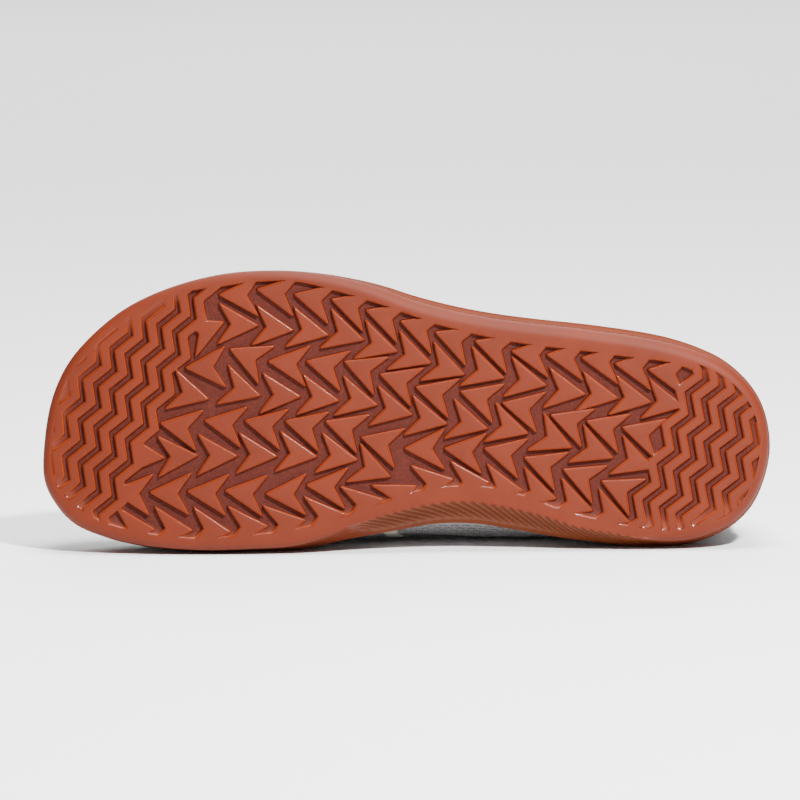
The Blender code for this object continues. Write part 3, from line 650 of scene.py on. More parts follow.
def add_node(tree, kind, inputs=(), **settings):
    """A new node with its settings, and its inputs linked or set: by name, or in their order."""
    node = tree.nodes.new(kind)
    for key, value in settings.items():
        setattr(node, key, value)
    for key, source in inputs.items() if isinstance(inputs, dict) else enumerate(inputs):
        wire(source, node.inputs[key])
    return node


def stitch_tree():
    """Node tree that sets stitches along a path."""
    tree = bpy.data.node_groups.new("stitches", "GeometryNodeTree")
    for name, kind in (("Geometry", "Geometry"), ("Count", "Int"), ("Stitch Length", "Float"),
                       ("Thread", "Float"), ("Material", "Material")):
        tree.interface.new_socket(name, in_out="INPUT", socket_type="NodeSocket" + kind)
    tree.interface.new_socket("Geometry", in_out="OUTPUT", socket_type="NodeSocketGeometry")

    def add(kind, inputs=(), **settings):
        return add_node(tree, kind, inputs, **settings).outputs[0]

    given = tree.nodes.new("NodeGroupInput").outputs
    curve = add("GeometryNodeMeshToCurve", [given["Geometry"]])
    points = add("GeometryNodeResampleCurve", {"Curve": curve, "Count": given["Count"]}, mode="COUNT")
    turn = add("FunctionNodeAlignRotationToVector", {"Vector": add("GeometryNodeInputTangent")}, axis="X")
    ball = add("GeometryNodeMeshUVSphere", {"Segments": 8, "Rings": 6, "Radius": 0.5})
    size = add("ShaderNodeCombineXYZ", [given["Stitch Length"], given["Thread"], given["Thread"]])
    placed = add("GeometryNodeInstanceOnPoints",
                 {"Points": points, "Instance": ball, "Rotation": turn, "Scale": size})
    smooth = add("GeometryNodeSetShadeSmooth", [add("GeometryNodeRealizeInstances", [placed])])
    coloured = add("GeometryNodeSetMaterial", {"Geometry": smooth, "Material": given["Material"]})
    add_node(tree, "NodeGroupOutput", [coloured])
    return tree


def stitches(name, path, closed, pitch, stitch_length, thread, material):
    """Row of stitches along a path of the standing shoe."""
    points = laid_down(path)
    edges = [(i, i + 1) for i in range(len(points) - 1)] + ([(len(points) - 1, 0)] if closed else [])
    mesh = bpy.data.meshes.new(name)
    mesh.from_pydata(points.tolist(), edges, [])
    run = sum(float(np.linalg.norm(points[b] - points[a])) for a, b in edges)
    piece = bpy.data.objects.new(name, mesh)
    bpy.context.collection.objects.link(piece)
    tree = bpy.data.node_groups.get("stitches") or stitch_tree()
    modifier = piece.modifiers.new("stitches", "NODES")
    modifier.node_group = tree
    given = {item.name: item.identifier for item in tree.interface.items_tree if item.in_out == "INPUT"}
    for label, value in (("Count", round(run / pitch)), ("Stitch Length", stitch_length),
                         ("Thread", thread), ("Material", material)):
        modifier[given[label]] = value
    evaluated = piece.evaluated_get(bpy.context.evaluated_depsgraph_get())
    piece.data = bpy.data.meshes.new_from_object(evaluated)
    piece.modifiers.remove(modifier)
    bpy.data.meshes.remove(mesh)
    declare(piece, None)


# Material helpers

def scaled(colour, factor):
    """A colour made darker or lighter."""
    return tuple(factor * part for part in colour)


class Shading:
    """Builds one procedural material from plain sums of its sockets."""

    def __init__(self, name):
        self.material = bpy.data.materials.new(name)
        self.material.use_nodes = True

    def node(self, kind, inputs=(), **settings):
        return add_node(self.material.node_tree, kind, inputs, **settings)

    def math(self, operation, *values):
        return self.node("ShaderNodeMath", values, operation=operation).outputs[0]

    def times(self, a, b):
        return self.math("MULTIPLY", a, b)

    def minus(self, a, b):
        return self.math("SUBTRACT", a, b)

    def plus(self, a, b):
        return self.math("ADD", a, b)

    def ramp(self, value, low, high, to_low=0.0, to_high=1.0):
        return self.node("ShaderNodeMapRange", (value, low, high, to_low, to_high), clamp=True,
                         interpolation_type="SMOOTHSTEP").outputs[0]

    def noise(self, vector, scale, detail=3.0, roughness=0.55):
        return self.node("ShaderNodeTexNoise", {"Vector": vector, "Scale": scale, "Detail": detail,
                                                "Roughness": roughness}).outputs["Fac"]

    def mix(self, share, a, b):
        a, b = (end if isinstance(end, bpy.types.NodeSocket) else (*end, 1.0) for end in (a, b))
        return self.node("ShaderNodeMix", {"Factor": share, 6: a, 7: b}, data_type="RGBA").outputs[2]

    def attribute(self, name):
        return self.node("ShaderNodeAttribute", attribute_name=name).outputs["Fac"]

    def here(self):
        return self.node("ShaderNodeTexCoord").outputs["Object"]

    def normal(self):
        return self.node("ShaderNodeNewGeometry").outputs["Normal"]

    def bump(self, height, distance, strength):
        return self.node("ShaderNodeBump", {"Distance": distance, "Strength": strength,
                                            "Height": height}).outputs[0]

    def finish(self, **sockets):
        inputs = self.material.node_tree.nodes["Principled BSDF"].inputs
        for name, value in sockets.items():
            wire((*value, 1.0) if isinstance(value, tuple) else value, inputs[name.replace("_", " ")])
        return self.material


def gum_material():
    """Moulded gum rubber: smooth and faintly grained on top, grainy and darker where it is sunk, partly as
    painted shade; painted glow and shade on the lug walls.
    """
    look = Shading("moulded_gum")
    paint = colours()
    here = look.here()
    sunk = look.attribute("sunk")
    side = look.attribute("side")
    off_side = look.ramp(side, 0.2, 0.4, 1.0, 0.0)
    facing = look.node("ShaderNodeVectorMath", (look.normal(), -stance().col[2].to_3d()),
                       operation="DOT_PRODUCT").outputs["Value"]
    # Steep walls of the tread get painted light: a painted glow near their top edge, fading to painted shade
    # at their foot.
    steep = look.times(look.ramp(facing, 0.55, 0.93, 1.0, 0.0), look.ramp(sunk, 0.03, 0.15))
    painted_wall_glow_and_shade = look.mix(look.ramp(sunk, 0.10, 0.70), paint.edge, paint.wall)
    cloud = look.noise(here, 45.0, 4.0)
    grain = look.noise(here, 2600.0, 2.0, 0.6)
    coarse = look.noise(here, 1300.0, 3.0, 0.65)
    tone = look.mix(look.ramp(cloud, 0.35, 0.65), scaled(paint.gum, 0.93), scaled(paint.gum, 1.06))
    # Grainy groove floors, their darkness partly painted shade in the sunk tread.
    grain_and_painted_shade = look.mix(look.ramp(coarse, 0.45, 0.62), paint.groove, scaled(paint.groove, 1.5))
    sided = look.mix(side, tone, paint.side)
    # Painted shade in the troughs of the arch's ribs, darker where a trough is deeper.
    ribbed = look.mix(sunk, sided, scaled(paint.side, 0.38))
    treaded = look.mix(look.ramp(sunk, 0.35, 0.95), sided, grain_and_painted_shade)
    # Lays the painted glow and shade on the steep walls, away from the ribbed side.
    walled = look.mix(look.times(steep, off_side), treaded, painted_wall_glow_and_shade)
    height = look.plus(look.times(grain, look.minus(1.0, sunk)), look.times(coarse, look.times(sunk, 5.0)))
    rim = look.times(look.ramp(sunk, 0.003, 0.02), look.ramp(sunk, 0.12, 0.25, 1.0, 0.0))
    roughness = look.math("MAXIMUM", look.ramp(sunk, 0.2, 1.0, 0.60, 0.75),
                          look.ramp(side, 0.2, 0.45, 0.6, 0.9))
    return look.finish(Base_Color=look.mix(off_side, ribbed, walled),
                       Roughness=look.math("MULTIPLY_ADD", rim, -0.44, roughness),
                       Normal=look.bump(height, 0.00004, 0.6), Specular_IOR_Level=0.20)


def cloth_material(name, colour, scale=1.0, sheen=0.15):
    """Fine knit: small loops in rows, with a soft change of tone."""
    look = Shading(name)
    here = look.here()
    loops = look.noise(here, 900.0 * scale, 2.0, 0.5)
    cloud = look.ramp(look.noise(here, 60.0), 0.3, 0.7)
    tone = look.mix(cloud, scaled(colour, 0.92), scaled(colour, 1.05))
    shaded = look.mix(look.ramp(loops, 0.35, 0.6), scaled(colour, 0.80), tone)
    return look.finish(Base_Color=shaded, Roughness=0.9, Sheen_Weight=sheen,
                       Normal=look.bump(loops, 0.0002, 0.7))


# Sole

def profile_point(point, level_share):
    """Inset and height along the cup's outer side: 0 at the tread's edge, 1 at the rim's top."""
    rounding = sizes().edge_rounding * side_value(SOFTNESS, point)
    widest = WIDEST_SHARE * sizes().rim_height
    top = sizes().rim_height
    if level_share < EDGE_END:
        turn = math.radians(90.0 * (1.0 - level_share / EDGE_END))
        height = rounding * (1.0 - math.sin(turn))
        return side_inset(point, height) + rounding * (1.0 - math.cos(turn)), height
    if level_share < SIDE_END:
        height = rounding + (widest - rounding) * (level_share - EDGE_END) / (SIDE_END - EDGE_END)
        return side_inset(point, height), height
    turn = math.radians(90.0 * (level_share - SIDE_END) / (1.0 - SIDE_END))
    back = 0.40 * sizes().cup_wall * (1.0 - math.cos(turn))
    return back, widest + (top - widest) * math.sin(turn)


def arch_rib(run, height):
    """Depth share of the slanted ribs at a running length and height of the side, with a steep side."""
    sweep = sizes().arch_rib_sweep * (height / sizes().rim_height)
    tooth = ((run - sweep) / sizes().arch_rib_pitch) % 1.0
    return tooth / ARCH_RIB_RISE if tooth < ARCH_RIB_RISE else (1.0 - tooth) / (1.0 - ARCH_RIB_RISE)


def seam_channel(point, height):
    """Depth of the channel that holds the moulded stitches."""
    away = (height - sizes().seam_height) / SEAM_REACH
    return sizes().seam_depth * (1.0 - in_arch(point)) * math.exp(-away * away)


def sole_side():
    """Rings of the cup from the tread's edge down to the cup's floor, and how deep each spot is in a rib."""
    curve = rim_outline()
    dense = RIM_STEP / ARCH_STEP

    def crowding(point):
        return dense if in_arch(point) > 0.0 else 1.0

    count = round(running_length(curve, crowding)[-1] / RIM_STEP)
    loop = evenly(curve, count, crowding)
    normals = inward_normals(loop)
    runs = running_length(loop)
    shares = [EDGE_END * k / EDGE_LEVELS for k in range(EDGE_LEVELS)]
    shares += [EDGE_END + (SIDE_END - EDGE_END) * k / SIDE_LEVELS for k in range(SIDE_LEVELS)]
    shares += [SIDE_END + (1.0 - SIDE_END) * k / (TOP_LEVELS - 1) for k in range(TOP_LEVELS)]
    rings = []
    troughs = []
    for share in shares:
        ring = []
        for i, (point, normal) in enumerate(zip(loop, normals)):
            inset, height = profile_point(point, share)
            arch = in_arch(point)
            trough = 0.0
            if arch > 0.0:
                fade = smooth_value(*ARCH_RIB_FADE, height / sizes().rim_height)
                trough = float(arch * fade) * arch_rib(runs[i], height)
                inset += sizes().arch_rib_depth * trough
            troughs.append(trough if share > 0.0 else 0.0)
            inset += seam_channel(point, height)
            ring.append((*(point + normal * inset), height))
        rings.append(ring)
    for share in INNER_LEVELS:
        height = sizes().rim_height + (sizes().cup_floor - sizes().rim_height) * share
        rings.append([(*(point + normal * cup_inset(point, height)), height)
                      for point, normal in zip(loop, normals)])
        troughs += [0.0] * len(loop)
    return rings, troughs


def rounded(outline, radii):
    """An outline with its corners rounded, as much as its sides allow."""
    points = []
    count = len(outline)
    for i in range(count):
        before, corner, after = outline[i - 1], outline[i], outline[(i + 1) % count]
        a, b = (before - corner), (after - corner)
        half = a.angle(b, 0.0) / 2
        back = min(radii[i % len(radii)] / max(math.tan(half), 0.05), 0.42 * a.length, 0.42 * b.length)
        start, end = corner + a.normalized() * back, corner + b.normalized() * back
        for t in (0.0, 0.5, 1.0):
            points.append(start.lerp(corner, t).lerp(corner.lerp(end, t), t))
    return points


def arrow(tip, points_to, lean):
    """Outline of one arrow lug."""
    reach, half_span, notch = ARROW_SIZES
    back = -1.0 if points_to == "toe" else 1.0
    turn = Matrix.Rotation(math.radians(lean), 2)
    corners = ((0.0, 0.0), (back * reach, half_span), (back * notch, 0.0), (back * reach, -half_span))
    return [tip + turn @ Vector(corner) for corner in corners]


def arrows():
    """Outlines of all arrow lugs, row by row."""
    outlines = []
    for _, points_to, lugs in LUG_ROWS:
        numbers = [lug[0] for lug in lugs]
        for number in range(numbers[0], numbers[-1] + 1):
            after = min(k for k in range(1, len(lugs)) if numbers[k] >= number)
            start, end = lugs[after - 1], lugs[after]
            share = (number - start[0]) / (end[0] - start[0])
            along, across, lean = (start[k] + (end[k] - start[k]) * share for k in (1, 2, 3))
            tip = Vector((along * sizes().sole_length, across * sizes().ball_width))
            outlines.append(rounded(arrow(tip, points_to, lean), ARROW_ROUNDING))
    return outlines


def zigzag_ribs(start, run, slant, breadth, step):
    """Outlines of the zigzag ribs at one end of the tread, wider than the field."""
    corner = Vector((start[0] * sizes().sole_length, start[1] * sizes().ball_width))
    period = Vector(run) + Vector(slant)
    outlines = []
    for rib in range(RIBS_AT_EACH_END):
        edge = []
        for fold in RIB_FOLDS:
            place = corner + Vector(step) * rib + period * fold
            edge += [place, place + Vector(run)]
        outline = edge + [place + Vector(breadth) for place in reversed(edge)]
        outlines.append(rounded(outline, RIB_ROUNDING))
    return outlines


def zigzag_zone(rib, far_end):
    """Outline of the part of the tread that belongs to the zigzag ribs, from the first rib to one end."""
    half = len(rib) // 2
    edge = rib[:half] if far_end > rib[0].x else rib[half:][::-1]
    return edge + [Vector((far_end, edge[-1].y)), Vector((far_end, edge[0].y))]


def inside(points, outline):
    """Which of the points lie inside an outline."""
    xs, ys = points[:, 0], points[:, 1]
    result = np.zeros(len(points), bool)
    near = ((xs > min(p.x for p in outline)) & (xs < max(p.x for p in outline))
            & (ys > min(p.y for p in outline)) & (ys < max(p.y for p in outline)))
    index = np.nonzero(near)[0]
    px, py = xs[index], ys[index]
    odd = np.zeros(len(index), bool)
    for a, b in zip(outline, outline[1:] + outline[:1]):
        crosses = (a.y > py) != (b.y > py)
        with np.errstate(divide="ignore", invalid="ignore"):
            at = a.x + (py - a.y) * (b.x - a.x) / (b.y - a.y)
        odd ^= crosses & (px < at)
    result[index] = odd
    return result


def triangulate(points, loops, epsilon=1e-7):
    """Triangles over plan points with the loops' edges kept; returns points, triangles and loop ids."""
    faces = []
    coords = list(points)
    for loop in loops:
        start = len(coords)
        area = sum(a.cross(b) for a, b in zip(loop, loop[1:] + loop[:1]))
        coords.extend(loop if area > 0.0 else loop[::-1])
        faces.append(list(range(start, start + len(loop))))
    return delaunay_2d_cdt([Vector(p[:2]) for p in coords], [], faces, 0, epsilon, True)


def groove_loops(field, ribs, zones, lugs):
    """Closed loops around the sunk parts of the tread, with the sunk part on one side."""
    verts, _, triangles, _, _, owners = triangulate([], [field] + zones + ribs + lugs)
    first_rib, first_lug = 1 + len(zones), 1 + len(zones) + len(ribs)
    sides = {}
    for triangle, owner in zip(triangles, owners):
        on_rib = any(first_rib <= k < first_lug for k in owner)
        on_lug = any(k >= first_lug for k in owner) and not any(1 <= k < first_rib for k in owner)
        if 0 in owner and not on_rib and not on_lug:
            sides.update(dict.fromkeys(zip(triangle, triangle[1:] + triangle[:1])))
    border = {}
    for a, b in sides:
        if (b, a) not in sides:
            border.setdefault(a, []).append(b)
    loops = []
    while border:
        start = next(iter(border))
        loop = [start]
        while True:
            after = border[loop[-1]].pop()
            if not border[loop[-1]]:
                del border[loop[-1]]
            if after == start:
                break
            loop.append(after)
        loops.append([verts[k].to_2d() for k in loop])
    return [loop for loop in loops if len(loop) > 2]


def simplified(loop, tolerance=0.00001):
    """A loop without the points that lie on a straight run."""
    kept = []
    for i, point in enumerate(loop):
        before = kept[-1] if kept else loop[i - 1]
        a, b = point - before, loop[(i + 1) % len(loop)] - point
        turn = abs(a.normalized().cross(b.normalized()))
        if a.length >= tolerance and b.length > tolerance and turn > 0.01:
            kept.append(point)
    return kept


def offset_loop(loop, distance, step=0.004):
    """A loop moved sideways by a distance, left of its way, with mitred corners and short runs."""
    moved = []
    count = len(loop)
    for i in range(count):
        a = (loop[i] - loop[i - 1]).normalized()
        b = (loop[(i + 1) % count] - loop[i]).normalized()
        normal = Vector((-a.y, a.x)) + Vector((-b.y, b.x))
        if normal.length < 1e-6:
            normal = Vector((-a.y, a.x))
        normal.normalize()
        reach = 1.0 / max(normal.dot(Vector((-a.y, a.x))), 0.35)
        moved.append(loop[i] + normal * distance * reach)
    result = []
    for i in range(count):
        start, end = moved[i], moved[(i + 1) % count]
        pieces = max(1, math.ceil((end - start).length / step))
        result.extend(start.lerp(end, k / pieces) for k in range(pieces))
    return result


def walls_along(loops):
    """Tree of upright walls on closed plan loops, to measure distances from them."""
    corners, quads = [], []
    for loop in loops:
        for a, b in zip(loop, loop[1:] + loop[:1]):
            k = len(corners)
            corners += [(a.x, a.y, -1.0), (b.x, b.y, -1.0), (b.x, b.y, 1.0), (a.x, a.y, 1.0)]
            quads.append((k, k + 1, k + 2, k + 3))
    return BVHTree.FromPolygons(corners, quads)


def distances(tree, points):
    """Plan distance of each point from the walls of a tree."""
    return np.array([tree.find_nearest(Vector((x, y, 0.0)))[3] for x, y in points])


def end_fade(points, field_tree):
    """Share of the full groove depth: zigzag grooves run out towards the field's edge, inner pockets too."""
    along, across = points[:, 0], points[:, 1]
    scale = (sizes().sole_length, sizes().ball_width)

    def past(start, slope, toward):
        """How far points lie beyond the first rib of one end, 0 to 1."""
        line = start[0] * scale[0] - slope * (across - start[1] * scale[1]) + toward * RIB_FADE_EDGE
        return np.clip(toward * (along - line) / RIB_FADE_BLEND + 0.5, 0.0, 1.0)

    zigzag = np.maximum(past(HEEL_RIB_START, HEEL_RIB_SLOPE, -1.0), past(TOE_RIB_START, TOE_RIB_SLOPE, 1.0))
    pocket = (1.0 - zigzag) * (across < 0.0)
    away = distances(field_tree, points)
    long_way, short_way = (1.0 - np.clip(away / reach, 0.0, 1.0) for reach in (ZIGZAG_FADE, POCKET_FADE))
    return 1.0 - (1.0 - SHALLOWEST) * zigzag * long_way ** 1.5 - POCKET_LOSS * pocket * short_way ** 1.5


def tread_heights(points, field, ribs, zones, lugs, border_tree):
    """Depth share of each plan point: 0 on the lugs, 1 at the bottom of the grooves."""
    def within(outlines):
        found = np.zeros(len(points), bool)
        for outline in outlines:
            found |= inside(points, outline)
        return found

    land = ~inside(points, field) | within(ribs) | (within(lugs) & ~within(zones))
    distance = distances(border_tree, points)
    signed = np.where(land, distance, -distance)
    rows = sorted(LUG_EDGE)
    depth = np.interp(signed, [row[0] for row in rows], [row[1] for row in rows])
    return depth * end_fade(points, walls_along([field]))


class SHOE_OT_sole(bpy.types.Operator):
    """Build the gum cup sole with its tread"""
    bl_idname = "shoe.sole"
    bl_label = "Gum sole"

    def execute(self, context):
        length_by_width = (sizes().sole_length, sizes().ball_width)
        rings, troughs = sole_side()
        count = len(rings[0])
        rim_plan = [Vector((x, y)) for x, y, _ in rings[0]]
        field = evenly(plan_loop(FIELD, FIELD_HEEL_END, FIELD_TOE_END), FIELD_STEPS)
        toe_ribs = zigzag_ribs(TOE_RIB_START, RIB_RUN, TOE_RIB_SLANT, TOE_RIB_BREADTH, TOE_RIB_STEP)
        heel_ribs = zigzag_ribs(HEEL_RIB_START, HEEL_RIB_RUN, HEEL_RIB_SLANT, HEEL_RIB_BREADTH, HEEL_RIB_STEP)
        zones = [zigzag_zone(toe_ribs[0], 1.1 * length_by_width[0]),
                 zigzag_zone(heel_ribs[0], -0.1 * length_by_width[0])]
        ribs = toe_ribs + heel_ribs
        lugs = arrows() + [[Vector((x * length_by_width[0], y * length_by_width[1])) for x, y in PIT_EDGE]]
        loops = [simplified(loop) for loop in groove_loops(field, ribs, zones, lugs)]
        loops = [loop for loop in loops if len(loop) > 2]
        rows = [offset_loop(loop, -inside_by) for loop in loops for inside_by, _ in LUG_EDGE]
        xs = np.arange(0.0, length_by_width[0], LATTICE_STEP)
        ys = np.arange(-0.6 * length_by_width[1], 0.6 * length_by_width[1], LATTICE_STEP)
        lattice = np.array([(x, y) for x in xs for y in ys])
        lattice = [Vector(p) for p in lattice[inside(lattice, rim_plan)].tolist()]
        plan, _, triangles, _, _, owners = triangulate(lattice, [rim_plan] + rows, 1e-6)
        flat = np.array([(v.x, v.y) for v in plan])
        depth = tread_heights(flat, field, ribs, zones, lugs, walls_along(loops))

        grid = {(round(v.x, 7), round(v.y, 7)): i for i, v in enumerate(plan)}
        index = {grid.get((round(v.x, 7), round(v.y, 7)), -1): i for i, v in enumerate(rim_plan)}
        new = [k for k in range(len(plan)) if k not in index]
        base = len(rings) * count
        index.update({k: base + i for i, k in enumerate(new)})
        tread = [(flat[k][0], flat[k][1], depth[k] * sizes().tread_depth) for k in new]
        verts = np.array([p for ring in rings for p in ring] + tread)
        verts[:, 2] += spring(verts[:, 0])
        faces = [(a, d, c, b) for a, b, c, d in bands(len(rings), count)]
        faces.append(tuple((len(rings) - 1) * count + i for i in range(count)))
        faces += [tuple(index[k] for k in triangle)
                  for triangle, owner in zip(triangles, owners) if 0 in owner]

        sunk = np.concatenate([troughs, [depth[k] for k in new]])
        side = np.zeros(len(verts))
        on_side = [0.45 + 0.55 * in_arch(place) for place in rim_plan]
        side[EDGE_LEVELS * count:base] = on_side * (len(rings) - EDGE_LEVELS)
        finished("gum_sole", verts, faces, "gum_rubber", "outsole", gum_material(),
                 attributes=[("sunk", sunk), ("side", side)])
        return {"FINISHED"}


class SHOE_OT_rim_stitches(bpy.types.Operator):
    """Set the moulded stitches in their channel around the sole"""
    bl_idname = "shoe.rim_stitches"
    bl_label = "Moulded rim stitches"

    def execute(self, context):
        loop = evenly(rim_outline(), STITCH_PATH_STEPS)
        normals = inward_normals(loop)
        first = next(i for i in range(len(loop)) if in_arch(loop[i - 1]) > 0.0 and in_arch(loop[i]) == 0.0)
        height = sizes().seam_height
        path = []
        for k in range(len(loop)):
            point = loop[(first + k) % len(loop)]
            if in_arch(point) > 0.0:
                break
            if point.y < 0.0 and HIDDEN_SEAM[0] < point.x / sizes().sole_length < HIDDEN_SEAM[1]:
                continue
            inset = side_inset(point, height) + seam_channel(point, height) - 0.1 * sizes().moulded_thread
            place = point + normals[(first + k) % len(loop)] * inset
            path.append((*place, height + float(spring(place.x))))
        tan = Shading("moulded_stitch").finish(Base_Color=tuple(colours().moulded_stitch), Roughness=0.6,
                                               Specular_IOR_Level=0.18)
        stitches("moulded_rim_stitches", path, False, sizes().stitch_pitch, sizes().stitch_length,
                 sizes().moulded_thread, tan)
        return {"FINISHED"}


# Upper

def upper_lines():
    """The table's lines with their place around the outline, as a share of its length."""
    curve = rim_outline()
    sums = running_length(curve)
    lines = []
    for side, along, *values in UPPER_LINES:
        def misfit(i):
            point = curve[i]
            wrong = side in ("lateral", "medial") and (point.y > middle_at(point.x)) != (side == "lateral")
            return abs(point.x - along * sizes().sole_length) + (1.0 if wrong else 0.0)
        best = min(range(len(curve)), key=misfit)
        lines.append([sums[best] / sums[-1], (180 - values[0]) % 360] + values[1:])
    return sorted(lines)


def line_at(lines, share):
    """Turn from the heel, rise, lean, reach and fall of the upper's line at a share of the outline."""
    last, first, second = lines[-1], lines[0], lines[1]
    xs = [last[0] - 1.0] + [row[0] for row in lines] + [first[0] + 1.0, second[0] + 1.0]
    values = []
    for column in range(1, 6):
        full_turn = 360.0 if column == 1 else 0.0
        ys = [last[column] - full_turn] + [row[column] for row in lines]
        ys += [first[column] + full_turn, second[column] + full_turn]
        values.append(smooth_value(xs, ys, share))
    return values


def collar_point(turn):
    """Point of the collar at a turn from the heel round the outer side, in degrees."""
    angle = math.radians(180.0 - turn)
    from_front = abs((180.0 - turn + 180.0) % 360.0 - 180.0)
    height = smooth_value([row[0] for row in COLLAR_LINE], [row[1] for row in COLLAR_LINE], from_front)
    ease = 0.5 + 0.5 * math.cos(angle)
    half = sizes().collar_width / 2 * (1.0 - COLLAR_TAPER * ease)
    side = math.copysign(abs(math.sin(angle)) ** COLLAR_FULLNESS, math.sin(angle))
    return Vector((sizes().collar_back + sizes().collar_length / 2 * (1.0 + math.cos(angle)),
                   half * side - sizes().collar_shift * ease,
                   sizes().back_height + (sizes().instep_height - sizes().back_height) * height))


def upper_grid():
    """Outer face of the upper: rows from the cup's floor to the collar, columns around the shoe."""
    curve = rim_outline()
    count = round(running_length(curve)[-1] / UPPER_STEP)
    loop = evenly(curve, count)
    lines = upper_lines()
    grid = np.zeros((count, UPPER_LEVELS + 4, 3))
    low = sizes().cup_floor + sizes().gap
    for i, (point, normal) in enumerate(zip(loop, inward_normals(loop))):
        turn, rise, lean, reach, fall = line_at(lines, i / count)
        for k in range(4):
            height = low + (sizes().rim_height - low) * k / 3
            place = point + normal * (cup_inset(point, height) + sizes().gap)
            grid[i, k] = (*place, height + spring(place.x))
        start, end = Vector(grid[i, 3]), collar_point(turn)
        outer = Vector((-normal.x, -normal.y, 0.0))
        first = start + outer * lean * sizes().ball_width + Vector((0.0, 0.0, rise * sizes().instep_height))
        toward = Vector((start.x - end.x, start.y - end.y, 0.0)).normalized()
        last = end + toward * reach * sizes().sole_length - Vector((0.0, 0.0, fall * sizes().instep_height))
        for k in range(1, UPPER_LEVELS + 1):
            t = k / UPPER_LEVELS
            grid[i, 3 + k] = (start * (1 - t) ** 3 + first * 3 * t * (1 - t) ** 2
                              + last * 3 * t * t * (1 - t) + end * t ** 3)
    return grid


def grid_normals(grid):
    """Outward unit normals of the upper's grid."""
    around = np.roll(grid, -1, axis=0) - np.roll(grid, 1, axis=0)
    up = np.gradient(grid, axis=1)
    normals = np.cross(up, around)
    return normals / np.linalg.norm(normals, axis=2, keepdims=True)


def creased(grid):
    """The grid with soft troughs and ridges along the creases."""
    normals = grid_normals(grid)
    count, levels = grid.shape[:2]
    place = (np.arange(count) / count)[:, None] * np.ones((1, levels))
    up = ((np.arange(levels) - 3) / UPPER_LEVELS)[None, :] * np.ones((count, 1))
    moved = grid.copy()
    for row_place, row_up, end_place, end_up, depth, breadth in CREASES:
        start, end = grid_point(grid, row_place, row_up), grid_point(grid, end_place, end_up)
        way = end - start
        length = np.linalg.norm(way)
        offset = grid - start
        along = np.clip(offset @ way / length ** 2, 0.0, 1.0)
        away = np.linalg.norm(offset - along[..., None] * way, axis=2)
        ends = np.sin(np.pi * np.clip(along, 0.02, 0.98)) ** 0.7
        near = np.abs(place - (row_place + end_place) / 2) < 0.2
        shape = np.cos(np.pi * np.clip(away / breadth, 0.0, 2.0)) * np.exp(-(away / breadth) ** 2)
        moved -= normals * (depth * shape * ends * near * (up > 0.05))[..., None]
    return moved


def grid_point(grid, place, up):
    """Point of the upper's outer face: place around the outline, up the line above the rim."""
    count = grid.shape[0]
    column = (place % 1.0) * count
    level = min(3 + up * UPPER_LEVELS, grid.shape[1] - 1.001)
    i, k = int(column), int(level)
    j = (i + 1) % count
    u, v = column - i, level - k
    return ((grid[i, k] * (1 - u) + grid[j, k] * u) * (1 - v)
            + (grid[i, k + 1] * (1 - u) + grid[j, k + 1] * u) * v)


def knit_material():
    """Pale knit darkened as painted shade, with clusters of three pinholes of painted shade in a brick
    layout, laid on from three sides.
    """
    look = Shading("pinhole_knit")
    here = look.here()
    # The knit colour here is darker than the pale knit: painted shade.
    pale = colours().knit
    turn = [math.radians(angle) for angle in STANCE_DEGREES]

    def standing(vector):
        """Parts of a vector along the axes of the standing shoe."""
        turned = look.node("ShaderNodeVectorRotate", {"Vector": vector, "Rotation": turn},
                           rotation_type="EULER_XYZ", invert=True)
        return look.node("ShaderNodeSeparateXYZ", [turned.outputs[0]]).outputs

    def centred(value, period):
        return look.minus(look.math("WRAP", value, period, 0.0), period / 2)

    def holes(u, v):
        row = look.math("FLOOR", look.math("DIVIDE", v, HOLE_ROW))
        shift = look.times(look.math("MODULO", look.math("ABSOLUTE", row), 2.0), HOLE_PITCH / 2)
        across, up = centred(look.plus(u, shift), HOLE_PITCH), centred(v, HOLE_ROW)
        best = None
        for dot_u, dot_v in HOLE_CLUSTER:
            du, dv = look.minus(across, dot_u), look.minus(up, dot_v)
            away = look.math("SQRT", look.plus(look.times(du, du), look.times(dv, dv)))
            best = away if best is None else look.math("MINIMUM", best, away)
        return look.ramp(best, *HOLE_RADII, 1.0, 0.0)

    def wales(u, v):
        u, v = (look.math("SINE", look.times(value, 2 * math.pi / pitch))
                for value, pitch in ((u, WALE_PITCH), (v, COURSE_PITCH)))
        return look.times(u, v)

    x, y, z = standing(here)
    weights = [look.math("POWER", look.math("ABSOLUTE", axis), 6.0) for axis in standing(look.normal())]
    total = look.plus(look.plus(weights[0], weights[1]), weights[2])
    hole = knit = 0.0
    for (u, v), weight in zip(((y, z), (x, z), (x, y)), weights):
        share = look.math("DIVIDE", weight, total)
        hole = look.math("MULTIPLY_ADD", holes(u, v), share, hole)
        knit = look.math("MULTIPLY_ADD", wales(u, v), share, knit)
    fuzz = look.noise(here, 1500.0, 2.0)
    tone = look.mix(look.ramp(look.noise(here, 35.0), 0.3, 0.7), scaled(pale, 0.94), scaled(pale, 1.05))
    woven = look.mix(look.ramp(look.plus(knit, fuzz), -0.2, 1.2), scaled(pale, 0.78), tone)
    height = look.minus(look.math("MULTIPLY_ADD", knit, 0.35, fuzz), look.times(hole, 2.5))
    # The pinholes are painted shade: near-black dots on the knit, which is only bumped in there.
    return look.finish(Base_Color=look.mix(hole, woven, scaled(pale, 0.16)), Roughness=0.88,
                       Sheen_Weight=0.15, Normal=look.bump(height, 0.00016, 0.8))


